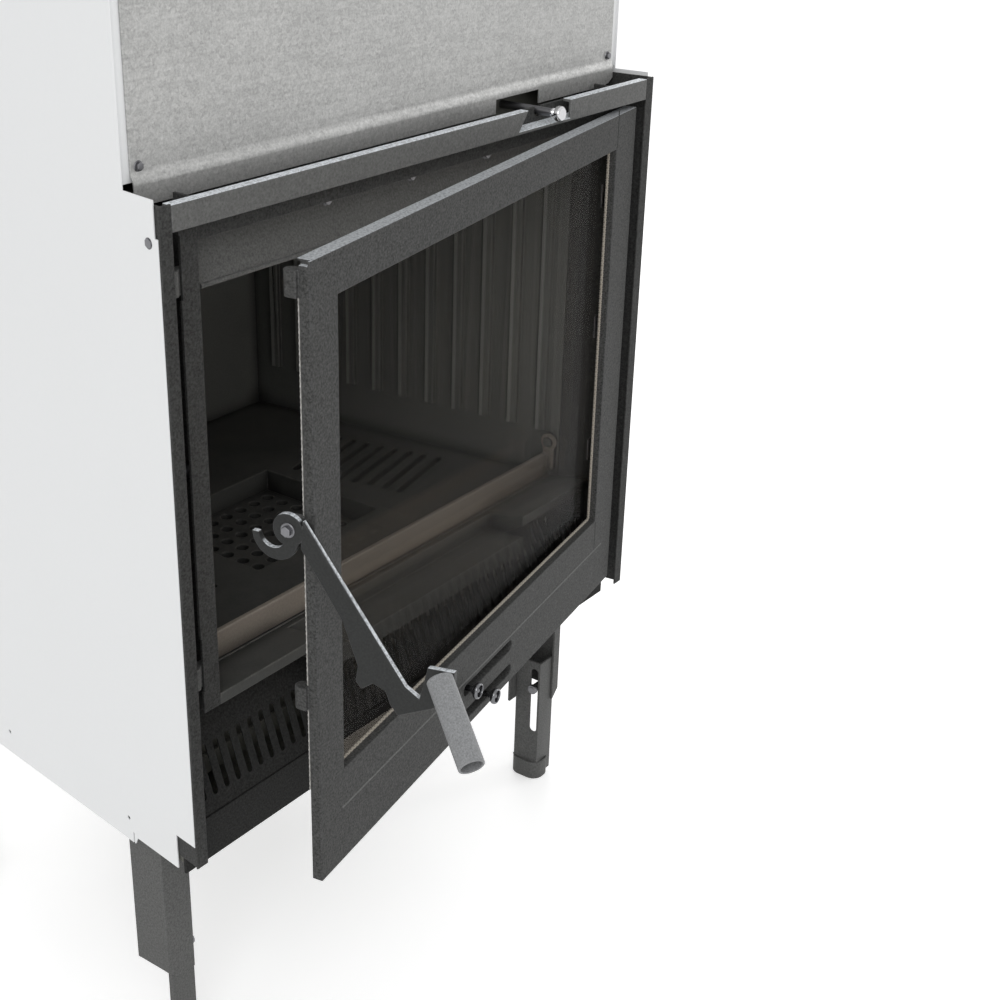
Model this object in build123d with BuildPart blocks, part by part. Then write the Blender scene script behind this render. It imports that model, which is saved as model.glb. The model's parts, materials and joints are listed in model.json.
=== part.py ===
"""Fireplace insert: front frame, firebox, damper, casing, glazed door with latch, adjustable feet."""

from build123d import *
import os
from math import atan2, cos, hypot, radians, sin, sqrt, tan

os.makedirs("parts", exist_ok=True)

# Clearances and stock, mm
seat = 0.05        # between pieces that lie on each other
free = 0.3         # between pieces on different bodies
running = 0.05     # radial, shaft in its bore
sheet = 1.5        # casing
plate = 3.0        # folded steel
heavy = 4.0        # firebox steel

# Front frame. Local zero is the frame's face, its middle and the bottom of its posts.
width = 700.0
frame_height = 593.0
leg_height = 285.0          # floor to the bottom of the posts
face_ahead = 110.6          # the frame's face, ahead of the middle of the floor print
post_face = 13.0
post_plate = 2.0
channel_depth = 60.0        # gap between post and seal strip, front to back
rail_height = 21.0
rail_drop = 1.0             # rail's top edge below the posts' tops
rail_lip = 10.0
bottom_rail_low, bottom_rail_high = -19.0, 25.0

# Firebox mouth
strip_y = 17.2              # face that the door's rope closes on
strip_outer, strip_inner = width / 2 - 35, width / 2 - 54.6
mouth_bottom, mouth_top = 137.0, frame_height - 39.4
rim_top = 148.0
sill_back, sill_back_z = 68.0, 139.0
sill_under = 118.0
notch_half, notch_floor, lip_top, lip_low = width / 2 - 187, 121.0, 124.0, 104.0
grille_slope = 18.2         # degrees back from upright
slot_pitch, slot_width, slot_length = 14.8, 6.5, 48.0
slot_count = round((width - 34) / slot_pitch)

# Firebox
wall_taper = 6.5            # degrees in toward the back
wall_front_half = width / 2 - 57.3     # clear half width at the channel's back
liner = 10.0
liner_front, back_face = 60.3, 482.0
floor_top, floor_plate = 140.0, 12.0
liner_top = frame_height - 48
rib_depth, rib_width, rib_pitch, rib_foot = 6.0, 12.0, 37.0, 194.0
rib_count = int((back_face - liner_front) / rib_pitch)
well_half, well_front, well_back, well_depth = 94.0, 163.0, 327.0, 32.0
grate_plate, grate_hole, grate_pitch = 8.0, 6.5, 22.0
base_z, shell_top = 36.0, frame_height + 47
throat_half, throat_depth = 123.0, 118.0
throat_y = 300.0
baffle_front, baffle_back, baffle_rise, baffle_plate = 150.0, 478.0, 60.0, 10.0
baffle_back_z = frame_height - 113

# Flue and damper
flue_radius, flue_wall = 103.5, 3.0
dome_top = shell_top + 135
flue_top = dome_top + 120
shaft_radius, shaft_drop = 5.0, 12.0      # shaft below the throat plate
flap_half, flap_depth, flap_plate = 118.0, 112.0, 4.0
crank_x, rod_x, rod_z, rod_radius = 177.0, 162.0, frame_height - 9, 4.0
crank_plate, crank_gap, crank_reach = 6.0, 17.0, 70.0
crank_angle = 45.0                        # behind upright when the rod is home
knob_front = -12.0

# Casing
casing_top, casing_back, side_taper = dome_top + 85, 515.0, 7.5
jacket_front, jacket_bottom = 2.0, -14.0
hood_y, hood_step = 44.0, 3.0
hood_fold, hood_half = frame_height + 7.5, width / 2 - 15.5
hood_foot, hood_notch = hood_fold - 18.5, (126.0, 198.0)
spigot_radius, spigot_x, spigot_y, spigot_rise = 62.5, 190.0, 330.0, 45.0
tray_low, tray_high = -8.0, 22.0
member_front, member_rear, member_width, member_half = 85.0, 430.0, 40.0, width / 2 - 115

# Feet
leg_outer_front, leg_outer_rear = width / 2 - 19, width / 2 - 78
leg_front_y, leg_rear_y = 68.7, 503.0
leg_width, leg_depth, leg_plate, bracket_bottom = 35.7, 42.0, 3.0, -178.0
foot_top, foot_slot, foot_slot_width = -118.0, 90.0, 10.5
foot_bolt_z, foot_bolt_radius, slot_above_bolt = -155.0, 4.0, 27.0
foot_bolt_in = 11.8                       # from the bracket's front face
shoe_height = 24.0

# Door, in its own frame: zero on the hinge axis, X to the hinge side, closed pose
open_angle = 10.14
hinge_x, hinge_y = width / 2 - 30, 19.0
door_front, door_plate = -16.0, 10.0
door_hinge_edge, door_free_edge = 2.5, -2 * hinge_x - 2.5
door_low, door_high = 15.0, frame_height - 28.2
door_top_depth, door_top_plate = 13.6, 2.0
glass_left, glass_right = door_free_edge + 39, -47.5
glass_low, glass_high = 107.5, frame_height - 63.2
glass_cover, glass_plate, tape = 10.0, 4.0, 0.8
rope_width = 12.0
lug_height, lug_gap = 21.0, 2.0
upper_lug_z, lower_lug_z = frame_height - 57, 185.0
barrel_radius, pin_radius = 6.0, 3.5
slide_half, slide_height, slide_plate = 88.0, 22.0, 2.0
upper_slide_z, lower_slide_z = 58.5, 30.0
air_slot_length, air_slot_height, air_slot_pitch = 26.0, 12.0, 42.0
slide_slot_length = 20.0
upper_knob_x, lower_knob_x = -hinge_x - 44.5, -hinge_x - 3.5    # at rest
knob_radius, knob_ahead, stem_radius = 8.5, 13.0, 3.0

# Bottom rail and tray, behind the door's lower corner as it swings
bottom_rail_y = hinge_y + door_hinge_edge + 0.5
tray_front = bottom_rail_y + plate + 0.5

# Latch lever, in the door's frame: out is ahead of the door's face
lever_gap, lever_plate = 4.5, 5.0
eye_out, eye_z, eye_radius, pivot_radius = -18.9, 350.2, 14.0, 4.0
hook_out, hook_z, hook_outer, hook_inner = -31.0, 343.0, 21.0, 12.5
grip_out, grip_z, grip_length, grip_radius, grip_wall = 119.0, 261.0, 76.0, 10.5, 2.0
catch_out, catch_z, catch_radius = -35.5, 357.0, 3.0

insert = Plane(origin=(0, -face_ahead, leg_height), x_dir=(1, 0, 0), z_dir=(0, 0, 1))
turn = radians(open_angle)
door = Plane(
    origin=insert.from_local_coords(Vector(hinge_x, hinge_y, 0)),
    x_dir=(cos(turn), sin(turn), 0),
    z_dir=(0, 0, 1),
)


def block(x, y, z, mode=Mode.ADD):
    """A block between two X, two Y and two Z values of the builder's workplane."""
    low, high = zip(sorted(x), sorted(y), sorted(z))
    with Locations([tuple((a + b) / 2 for a, b in zip(low, high))]):
        Box(*(b - a for a, b in zip(low, high)), mode=mode)


def bar(axis, at, radius, span, mode=Mode.ADD):
    """A round bar along "X", "Y" or "Z" of the workplane, between two values of that axis."""
    middle, length = (span[0] + span[1]) / 2, abs(span[1] - span[0])
    spot = {"X": (middle, *at), "Y": (at[0], middle, at[1]), "Z": (*at, middle)}[axis]
    turned = {"X": (0, 90, 0), "Y": (90, 0, 0), "Z": (0, 0, 0)}[axis]
    with Locations([spot]):
        Cylinder(radius, length, rotation=turned, mode=mode)


def side_plane(frame, x):
    """Sketch plane at the frame's X: sketch X is the frame's Y, and it extrudes toward +X."""
    return Plane(frame.from_local_coords(Vector(x, 0, 0)), x_dir=frame.y_dir, z_dir=frame.x_dir)


def front_plane(frame, y):
    """Sketch plane at the frame's Y, seen from the front: it extrudes toward -Y."""
    return Plane(frame.from_local_coords(Vector(0, y, 0)), x_dir=frame.x_dir, z_dir=-frame.y_dir)


def outline(points, mode=Mode.ADD):
    """A closed face from the points of its corners, where they stand."""
    Polygon(*points, align=None, mode=mode)


def casing_half(y, inset=0.0):
    """Half width of the casing at depth y, less a thickness measured square to its side."""
    lean = radians(side_taper)
    return width / 2 - max(y - jacket_front, 0) * tan(lean) - inset / cos(lean)


def wall_half(y):
    """Clear half width between the firebox's side walls at depth y."""
    return wall_front_half - (y - liner_front) * tan(radians(wall_taper))


def plan(half, front, back, grow=0.0):
    """Corner points of a plan that follows a half-width function between two depths."""
    a, b = half(front) + grow, half(back) + grow
    return [(-a, front), (a, front), (b, back), (-b, back)]


# ------------------------------------------------------------------ front frame

with BuildPart(insert) as frame_post_left:
    skin = sheet + seat
    with BuildSketch(insert):
        outline([
            (-width / 2, 0),
            (-width / 2 + post_face, 0),
            (-width / 2 + post_face, post_plate),
            (-casing_half(post_plate, skin + post_plate), post_plate),
            (-casing_half(channel_depth, skin + post_plate), channel_depth),
            (-casing_half(channel_depth, skin), channel_depth),
            (-casing_half(jacket_front, skin), jacket_front),
            (-width / 2, jacket_front - seat),
        ])
    extrude(amount=frame_height)
frame_post_left.part.label = "frame_post_left"
export_step(frame_post_left.part, "parts/frame_post_left.step")

with BuildPart() as frame_post_right:
    mirror(frame_post_left.part, about=Plane.YZ)
frame_post_right.part.label = "frame_post_right"
export_step(frame_post_right.part, "parts/frame_post_right.step")

post_inner = width / 2 - post_face - seat
rail_top = frame_height - rail_drop
rail_bottom = rail_top - rail_height
cut_left, cut_slant, cut_right = 108.0, 15.0, 194.0

with BuildPart(insert) as frame_top_rail:
    with BuildSketch(side_plane(insert, -post_inner)):
        outline([
            (0, rail_bottom), (strip_y - seat, rail_bottom), (strip_y - seat, rail_bottom + plate),
            (plate, rail_bottom + plate), (plate, rail_top - plate), (rail_lip, rail_top - plate),
            (rail_lip, rail_top), (0, rail_top),
        ])
    extrude(amount=2 * post_inner)
    with BuildSketch(front_plane(insert, rail_lip + 1)):
        outline([
            (cut_left, rail_bottom + plate), (cut_right, rail_bottom + plate),
            (cut_right, rail_top + 1), (cut_left + cut_slant, rail_top + 1),
        ])
    extrude(amount=rail_lip + 2, mode=Mode.SUBTRACT)
frame_top_rail.part.label = "frame_top_rail"
export_step(frame_top_rail.part, "parts/frame_top_rail.step")


def between_posts(y):
    """Half width between the posts' side flanges at depth y."""
    return casing_half(y, sheet + post_plate + 2 * seat)


rail_half = between_posts(bottom_rail_y + plate)
with BuildPart(insert) as frame_bottom_rail:
    block((-rail_half, rail_half), (bottom_rail_y, bottom_rail_y + plate), (bottom_rail_low, bottom_rail_high))
    foot_half = between_posts(channel_depth)
    block((-foot_half, foot_half), (bottom_rail_y, channel_depth), (tray_low - seat - plate, tray_low - seat))
frame_bottom_rail.part.label = "frame_bottom_rail"
export_step(frame_bottom_rail.part, "parts/frame_bottom_rail.step")

slope = radians(grille_slope)
grille_foot = bottom_rail_y + plate / 2
grille_length = (sill_under - seat - bottom_rail_high - seat - post_plate * sin(slope)) / cos(slope)
grille_half = between_posts(grille_foot + grille_length * sin(slope) + plate)
grille_plane = Plane(
    insert.from_local_coords(Vector(0, grille_foot, bottom_rail_high + post_plate * sin(slope) + seat)),
    x_dir=(1, 0, 0),
    z_dir=(0, -cos(slope), sin(slope)),
)
with BuildPart() as vent_grille:
    with BuildSketch(grille_plane):
        with Locations((0, grille_length / 2)):
            Rectangle(2 * grille_half, grille_length)
        with Locations((0, slot_length / 2 + 14)):
            with GridLocations(slot_pitch, 1, slot_count, 1):
                SlotOverall(slot_length, slot_width, rotation=90, mode=Mode.SUBTRACT)
    extrude(amount=-post_plate)
vent_grille.part.label = "vent_grille"
export_step(vent_grille.part, "parts/vent_grille.step")

# ------------------------------------------------------------------ firebox mouth

strip_foot, strip_head = mouth_bottom, rail_top - plate - 1
lug_relief = hinge_x - barrel_radius - free
upper_lugs = (upper_lug_z - lug_gap - lug_height, upper_lug_z + lug_height)
lower_lugs = (lower_lug_z - lug_gap - lug_height, lower_lug_z + lug_height)

with BuildPart(insert) as seal_strip_right:
    with BuildSketch(insert.offset(strip_foot)):
        flange = between_posts(channel_depth)
        outline([
            (strip_inner, strip_y), (strip_outer, strip_y), (strip_outer, strip_y + plate),
            (strip_inner + plate, strip_y + plate), (strip_inner + plate, channel_depth - plate),
            (flange, channel_depth - plate), (flange, channel_depth), (strip_inner, channel_depth),
        ])
    extrude(amount=strip_head - strip_foot)
    block((strip_inner - 1, strip_inner + plate + 1), (hood_y - hood_step - 2, hood_y + 2),
          (hood_foot - 2, strip_head + 1), mode=Mode.SUBTRACT)
    for low, high in (upper_lugs, lower_lugs):
        block((lug_relief, strip_outer + 1), (strip_y - 1, strip_y + plate + seat), (low - 4, high + 4),
              mode=Mode.SUBTRACT)
seal_strip_right.part.label = "seal_strip_right"
export_step(seal_strip_right.part, "parts/seal_strip_right.step")

with BuildPart() as seal_strip_left:
    mirror(seal_strip_right.part, about=Plane.YZ)
seal_strip_left.part.label = "seal_strip_left"
export_step(seal_strip_left.part, "parts/seal_strip_left.step")

mouth_half = strip_inner - seat
with BuildPart(insert) as seal_strip_top:
    block((-mouth_half, mouth_half), (strip_y, strip_y + plate), (mouth_top, strip_head))
    block((-mouth_half, mouth_half), (strip_y, channel_depth - seat), (mouth_top, mouth_top + plate))
    bar("Y", (rod_x, rod_z), rod_radius + 2, (strip_y - 1, strip_y + plate + 1), mode=Mode.SUBTRACT)
seal_strip_top.part.label = "seal_strip_top"
export_step(seal_strip_top.part, "parts/seal_strip_top.step")

with BuildPart(insert) as sill:
    with BuildSketch(side_plane(insert, -mouth_half)):
        outline([
            (strip_y, mouth_bottom), (strip_y, rim_top), (sill_back, sill_back_z),
            (sill_back, sill_under), (48, sill_under),
        ])
    extrude(amount=2 * mouth_half)
    block((-notch_half, notch_half), (strip_y - 1, sill_back - 8), (notch_floor, rim_top + 1),
          mode=Mode.SUBTRACT)
    block((-notch_half - plate, notch_half + plate), (strip_y, strip_y + plate), (lip_low, lip_top))
    block((-notch_half - plate, notch_half + plate), (strip_y, sill_back - 1), (sill_under, notch_floor))
    for side in (-1, 1):
        block((side * (wall_half(sill_back) - free), side * width / 2), (liner_front - free, sill_back + 1),
              (sill_under - 1, rim_top), mode=Mode.SUBTRACT)
sill.part.label = "sill"
export_step(sill.part, "parts/sill.step")

retainer_y, retainer_plate, retainer_height = 70.0, 6.0, 28.0
retainer_half = wall_half(retainer_y + retainer_plate) - 2
stud_y, stud_z, stud_radius, ear_round = 62.0, 182.0, 5.0, 10.0
with BuildPart(insert) as log_retainer:
    block((-retainer_half, retainer_half), (retainer_y, retainer_y + retainer_plate),
          (floor_top + seat, floor_top + retainer_height))
    for side in (-1, 1):
        ear = (side * (retainer_half - 5), side * retainer_half)
        block(ear, (stud_y, retainer_y + retainer_plate), (floor_top + 8, stud_z))
        bar("X", (stud_y + 7, stud_z), ear_round, ear)
        bar("X", (stud_y + 7, stud_z), stud_radius + seat, (ear[0] - side, ear[1] + side), mode=Mode.SUBTRACT)
log_retainer.part.label = "log_retainer"
export_step(log_retainer.part, "parts/log_retainer.step")

deflector_low_y, deflector_y, deflector_half = 34.0, 45.0, width / 2 - 64
deflector_low_z, deflector_bend = mouth_top - 44.6, mouth_top - 14.6
with BuildPart(insert) as air_deflector:
    with BuildSketch(side_plane(insert, -deflector_half)):
        outline([
            (deflector_low_y, deflector_low_z), (deflector_y, deflector_bend),
            (deflector_y, mouth_top - seat), (deflector_y + post_plate, mouth_top - seat),
            (deflector_y + post_plate, deflector_bend - 0.5), (deflector_low_y + post_plate, deflector_low_z - 0.7),
        ])
    extrude(amount=2 * deflector_half)
    bar("X", (deflector_low_y + 1.5, deflector_low_z), 2.4, (-deflector_half, deflector_half))
    with BuildSketch(front_plane(insert, deflector_y + post_plate + 1)):
        for side in (-1, 1):
            outline([
                (side * (deflector_half + 1), deflector_low_z - 4), (side * (deflector_half + 1), mouth_top - 8),
                (side * deflector_half, mouth_top - 8), (side * (deflector_half - 9), deflector_low_z - 4),
            ])
    extrude(amount=30, mode=Mode.SUBTRACT)
air_deflector.part.label = "air_deflector"
export_step(air_deflector.part, "parts/air_deflector.step")

# ------------------------------------------------------------------ firebox

floor_back = back_face - seat
field_y, field_pitch, field_rows, field_slot = 250.0, 19.0, 8, 8.0
with BuildPart(insert) as hearth_floor:
    with BuildSketch(insert.offset(floor_top - floor_plate)):
        outline(plan(wall_half, sill_back + seat, floor_back, grow=-seat))
        with Locations((0, (well_front + well_back) / 2)):
            Rectangle(2 * well_half, well_back - well_front, mode=Mode.SUBTRACT)
        for side in (-1, 1):
            field = wall_half(field_y) - well_half
            with Locations(Location((side * (well_half + field / 2), field_y, 0), (0, 0, 1), side * 12)):
                with GridLocations(1, field_pitch, 1, field_rows):
                    SlotOverall(field - 67, field_slot, mode=Mode.SUBTRACT)
    extrude(amount=floor_plate)
    with BuildSketch(insert.offset(floor_top - floor_plate)):
        with Locations((0, (well_front + well_back) / 2)):
            Rectangle(2 * well_half + 8, well_back - well_front + 8)
            Rectangle(2 * well_half, well_back - well_front, mode=Mode.SUBTRACT)
    extrude(amount=floor_plate - well_depth)
    with BuildSketch(insert.offset(floor_top - well_depth)):
        with Locations((0, (well_front + well_back) / 2)):
            Rectangle(2 * well_half + 8, well_back - well_front + 8)
            Rectangle(2 * well_half - 16, well_back - well_front - 16, mode=Mode.SUBTRACT)
    extrude(amount=-4)
hearth_floor.part.label = "hearth_floor"
export_step(hearth_floor.part, "parts/hearth_floor.step")

with BuildPart(insert) as grate:
    with BuildSketch(insert.offset(floor_top - well_depth + seat)):
        with Locations((0, (well_front + well_back) / 2)):
            Rectangle(2 * well_half - 1, well_back - well_front - 1)
            with GridLocations(grate_pitch, grate_pitch, 8, 7):
                Circle(grate_hole, mode=Mode.SUBTRACT)
    extrude(amount=grate_plate)
grate.part.label = "grate"
export_step(grate.part, "parts/grate.step")

shell_half = lambda y: wall_half(y) + liner + seat + heavy
shell_back = back_face + liner + heavy
with BuildPart(insert) as firebox_base:
    with BuildSketch(insert.offset(base_z)):
        outline(plan(shell_half, channel_depth + heavy + 2 * seat, shell_back - seat, grow=-heavy - seat))
    extrude(amount=heavy)
    with BuildSketch(insert.offset(base_z + heavy)):
        outline(plan(wall_half, sill_back + seat, back_face - 1, grow=-1))
        outline(plan(wall_half, sill_back + seat + plate, back_face - 1 - plate, grow=-1 - plate),
                mode=Mode.SUBTRACT)
    extrude(amount=floor_top - floor_plate - seat - base_z - heavy)
firebox_base.part.label = "firebox_base"
export_step(firebox_base.part, "parts/firebox_base.step")

pan_half, pan_front, pan_back, pan_height = 120.0, 120.0, 350.0, 50.0
with BuildPart(insert) as ash_pan:
    pan_low = base_z + heavy + seat
    block((-pan_half, pan_half), (pan_front, pan_back), (pan_low, pan_low + pan_height))
    block((-pan_half + sheet, pan_half - sheet), (pan_front + sheet, pan_back - sheet),
          (pan_low + sheet, pan_low + pan_height + 1), mode=Mode.SUBTRACT)
    block((-35, 35), (pan_front - 18, pan_front), (pan_low + pan_height - 14, pan_low + pan_height - 11))
ash_pan.part.label = "ash_pan"
export_step(ash_pan.part, "parts/ash_pan.step")

shell_front = channel_depth + seat
with BuildPart(insert) as firebox_shell:
    with BuildSketch(insert.offset(base_z)):
        outline(plan(shell_half, shell_front, shell_back + heavy))
        outline(plan(shell_half, shell_front - 1, shell_back, grow=-heavy), mode=Mode.SUBTRACT)
    extrude(amount=shell_top - base_z)
    front_half = shell_half(shell_front + heavy)
    block((-front_half, front_half), (shell_front, shell_front + heavy), (mouth_top, shell_top))
    block((-front_half, front_half), (shell_front, shell_front + heavy), (base_z, base_z + 20))
    bar("Y", (rod_x, rod_z), 10, (shell_front, shell_front + 24))
    bar("Y", (rod_x, rod_z), rod_radius + running, (shell_front - 1, shell_front + 25), mode=Mode.SUBTRACT)
firebox_shell.part.label = "firebox_shell"
export_step(firebox_shell.part, "parts/firebox_shell.step")

wall_run = radians(wall_taper)
wall_plane = Plane(
    insert.from_local_coords(Vector(wall_front_half, liner_front, 0)),
    x_dir=(-sin(wall_run), cos(wall_run), 0),
    z_dir=(cos(wall_run), sin(wall_run), 0),
)
wall_length = (back_face - liner_front) / cos(wall_run)
ledge_size = 14.0


def baffle_under(y):
    """Height of the baffle's underside at depth y."""
    return baffle_back_z + baffle_rise * (baffle_back - y) / (baffle_back - baffle_front)


with BuildPart(insert) as side_wall_right:
    low = floor_top - floor_plate
    with BuildSketch(insert.offset(low)):
        outline([
            (wall_half(liner_front), liner_front), (wall_half(liner_front) + liner, liner_front),
            (wall_half(back_face) + liner, back_face), (wall_half(back_face), back_face),
        ])
    extrude(amount=liner_top - low)
    with BuildSketch(wall_plane):
        with Locations((rib_pitch / 2 + 4 + rib_pitch * (rib_count - 1) / 2, (rib_foot + liner_top) / 2)):
            with GridLocations(rib_pitch, 1, rib_count, 1):
                Rectangle(rib_width, liner_top - rib_foot)
    extrude(amount=-rib_depth)
    for y in (baffle_front + 12, baffle_back - 30):
        half, top = wall_half(y), baffle_under(y + ledge_size / 2) - seat
        block((half - rib_depth - ledge_size, half + 2), (y - ledge_size / 2, y + ledge_size / 2), (top - 12, top))
    bar("X", (stud_y + 7, stud_z), stud_radius, (retainer_half - 8, wall_half(stud_y + 7) + 2))
side_wall_right.part.label = "side_wall_right"
export_step(side_wall_right.part, "parts/side_wall_right.step")

with BuildPart() as side_wall_left:
    mirror(side_wall_right.part, about=Plane.YZ)
side_wall_left.part.label = "side_wall_left"
export_step(side_wall_left.part, "parts/side_wall_left.step")

with BuildPart(insert) as back_wall:
    half = wall_half(back_face + liner) + liner - 1
    block((-half, half), (back_face + seat, back_face + liner - seat), (floor_top - floor_plate, liner_top))
back_wall.part.label = "back_wall"
export_step(back_wall.part, "parts/back_wall.step")

baffle_lean = atan2(baffle_rise, baffle_back - baffle_front)
baffle_plane = Plane(
    insert.from_local_coords(Vector(0, baffle_back, baffle_back_z)),
    x_dir=(1, 0, 0),
    z_dir=(0, sin(baffle_lean), cos(baffle_lean)),
)
with BuildPart() as smoke_baffle:
    run = hypot(baffle_rise, baffle_back - baffle_front)
    front_gap, back_gap = (wall_half(y) - rib_depth - 1 for y in (baffle_front, baffle_back))
    with BuildSketch(baffle_plane):
        outline([(-back_gap, 0), (back_gap, 0), (front_gap, -run), (-front_gap, -run)])
    extrude(amount=baffle_plate)
smoke_baffle.part.label = "smoke_baffle"
export_step(smoke_baffle.part, "parts/smoke_baffle.step")

# ------------------------------------------------------------------ flue and damper

shaft_z = shell_top - shaft_drop
with BuildPart(insert) as throat_plate:
    with BuildSketch(insert.offset(shell_top + seat)):
        outline(plan(shell_half, shell_front, shell_back + heavy))
        with Locations((0, throat_y)):
            Rectangle(2 * throat_half, throat_depth, mode=Mode.SUBTRACT)
    extrude(amount=plate)
    for side in (-1, 1):
        near, far = side * (flap_half + 4), side * (flap_half + 20)
        block((near, far), (throat_y - 12, throat_y + 12), (shaft_z - 12, shell_top + 1))
        bar("X", (throat_y, shaft_z), shaft_radius + running, (near - side, far + side), mode=Mode.SUBTRACT)
throat_plate.part.label = "throat_plate"
export_step(throat_plate.part, "parts/throat_plate.step")

dome_foot = shell_top + seat + plate + seat
dome_half, dome_front, dome_rear, dome_neck = width / 2 - 110, 110.0, 490.0, 106.0
with BuildPart(insert) as smoke_dome:
    for skin, mode in ((0, Mode.ADD), (plate, Mode.SUBTRACT)):
        with BuildSketch(insert.offset(dome_foot)):
            with Locations((0, (dome_front + dome_rear) / 2)):
                Rectangle(2 * (dome_half - skin), dome_rear - dome_front - 2 * skin)
        with BuildSketch(insert.offset(dome_top)):
            with Locations((0, throat_y)):
                Rectangle(2 * (dome_neck - skin), 2 * (dome_neck - skin))
        loft(mode=mode)
smoke_dome.part.label = "smoke_dome"
export_step(smoke_dome.part, "parts/smoke_dome.step")

with BuildPart(insert) as flue_collar:
    with BuildSketch(insert.offset(dome_top + seat)):
        with Locations((0, throat_y)):
            Rectangle(2 * dome_neck + 12, 2 * dome_neck + 12)
            Circle(flue_radius - flue_wall, mode=Mode.SUBTRACT)
    extrude(amount=heavy)
    with BuildSketch(insert.offset(dome_top + seat)):
        with Locations((0, throat_y)):
            Circle(flue_radius)
            Circle(flue_radius - flue_wall, mode=Mode.SUBTRACT)
    extrude(amount=flue_top - dome_top - seat)
flue_collar.part.label = "flue_collar"
export_step(flue_collar.part, "parts/flue_collar.step")

with BuildPart(insert) as damper_flap:
    block((-flap_half, flap_half), (throat_y - flap_plate / 2, throat_y + flap_plate / 2),
          (shaft_z - flap_depth / 2, shaft_z + flap_depth / 2))
    bar("X", (throat_y, shaft_z), shaft_radius + 3, (-flap_half, flap_half))
    bar("X", (throat_y, shaft_z), shaft_radius, (-flap_half - 1, flap_half + 1), mode=Mode.SUBTRACT)
damper_flap.part.label = "damper_flap"
export_step(damper_flap.part, "parts/damper_flap.step")

lean = radians(crank_angle)
crank_frame = Plane(
    insert.from_local_coords(Vector(crank_x, throat_y, shaft_z)),
    x_dir=(0, cos(lean), sin(lean)),
    z_dir=(1, 0, 0),
)
with BuildPart(insert) as damper_shaft:
    bar("X", (throat_y, shaft_z), shaft_radius - 0.02, (-flap_half - 24, crank_x + crank_plate / 2))
    with BuildSketch(crank_frame.offset(-crank_plate / 2)):
        Circle(shaft_drop - 1.5)
        for side in (-1, 1):
            with Locations((side * (crank_gap / 2 + 3), -crank_reach / 2)):
                Rectangle(6, crank_reach)
    extrude(amount=crank_plate)
damper_shaft.part.label = "damper_shaft"
export_step(damper_shaft.part, "parts/damper_shaft.step")

crank_pin_y = throat_y + (shaft_z - rod_z) * tan(lean)
with BuildPart(insert) as damper_rod:
    bar("Y", (rod_x, rod_z), rod_radius, (0, crank_pin_y + 8))
    bar("X", (crank_pin_y, rod_z), 3, (rod_x, crank_x + crank_plate / 2 + 3))
damper_rod.part.label = "damper_rod"
export_step(damper_rod.part, "parts/damper_rod.step")

with BuildPart(insert) as damper_knob:
    bar("Y", (rod_x, rod_z), 7.5, (knob_front, -seat))
    fillet(damper_knob.edges().filter_by(GeomType.CIRCLE), 2)
damper_knob.part.label = "damper_knob"
export_step(damper_knob.part, "parts/damper_knob.step")

# ------------------------------------------------------------------ casing

side_lean = radians(side_taper)
skin_start = jacket_front + sheet * sin(side_lean) + seat
side_skin = Plane(
    insert.from_local_coords(Vector(-casing_half(skin_start), skin_start, 0)),
    x_dir=(sin(side_lean), cos(side_lean), 0),
    z_dir=(cos(side_lean), -sin(side_lean), 0),
)
side_run = (casing_back - jacket_front) / cos(side_lean)
notch_front, notch_bottom, notch_top = 4.4, frame_height - 25, frame_height + 4
return_width = 27.0
with BuildPart() as jacket_left:
    with BuildSketch(side_skin):
        outline([
            (27, jacket_bottom), (27, 22), (0, 22), (0, notch_bottom), (notch_front, notch_bottom),
            (notch_front, notch_top), (hood_y - jacket_front, notch_top), (hood_y - jacket_front, casing_top),
            (side_run, casing_top), (side_run, jacket_bottom - 8), (92, jacket_bottom - 8), (88, jacket_bottom),
        ])
        with Locations((100, 3), (300, 3), (440, 3)):
            Circle(2, mode=Mode.SUBTRACT)
        with Locations((94, jacket_bottom - 3)):
            Rectangle(1.6, 13, mode=Mode.SUBTRACT)
    extrude(amount=sheet)
    return_y = hood_y + sheet + seat
    edge = casing_half(return_y, sheet) + 0.6
    with BuildSketch(insert.offset(notch_top + 3)):
        with Locations((return_width / 2 - edge, return_y + sheet / 2)):
            Rectangle(return_width, sheet)
    extrude(amount=casing_top - notch_top - 3 - sheet - seat)
jacket_left.part.label = "jacket_left"
export_step(jacket_left.part, "parts/jacket_left.step")

with BuildPart() as jacket_right:
    mirror(jacket_left.part, about=Plane.YZ)
jacket_right.part.label = "jacket_right"
export_step(jacket_right.part, "parts/jacket_right.step")

with BuildPart(insert) as jacket_back:
    half = casing_half(casing_back, sheet) - seat
    block((-half, half), (casing_back - sheet, casing_back), (jacket_bottom - 8, casing_top))
jacket_back.part.label = "jacket_back"
export_step(jacket_back.part, "parts/jacket_back.step")

with BuildPart(insert) as hood_front:
    with BuildSketch(side_plane(insert, -hood_half)):
        outline([
            (hood_y, casing_top), (hood_y, hood_fold + 6), (hood_y - hood_step, hood_fold),
            (hood_y - hood_step, hood_foot), (hood_y - hood_step + sheet, hood_foot),
            (hood_y - hood_step + sheet, hood_fold - 0.2), (hood_y + sheet, hood_fold + 5.8), (hood_y + sheet, casing_top),
        ])
    extrude(amount=2 * hood_half)
    block(hood_notch, (hood_y - hood_step - 1, hood_y), (hood_foot - 1, hood_fold - 5), mode=Mode.SUBTRACT)
    with BuildSketch(front_plane(insert, hood_y)):
        for side in (-1, 1):
            outline([
                (side * (hood_half + 1), hood_foot + 7), (side * hood_half, hood_foot + 7),
                (side * (hood_half - 8), hood_foot + 2), (side * (hood_half - 18), hood_foot),
                (side * (hood_half - 18), hood_foot - 1), (side * (hood_half + 1), hood_foot - 1),
            ])
    extrude(amount=hood_step + 1, mode=Mode.SUBTRACT)
hood_front.part.label = "hood_front"
export_step(hood_front.part, "parts/hood_front.step")

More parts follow.
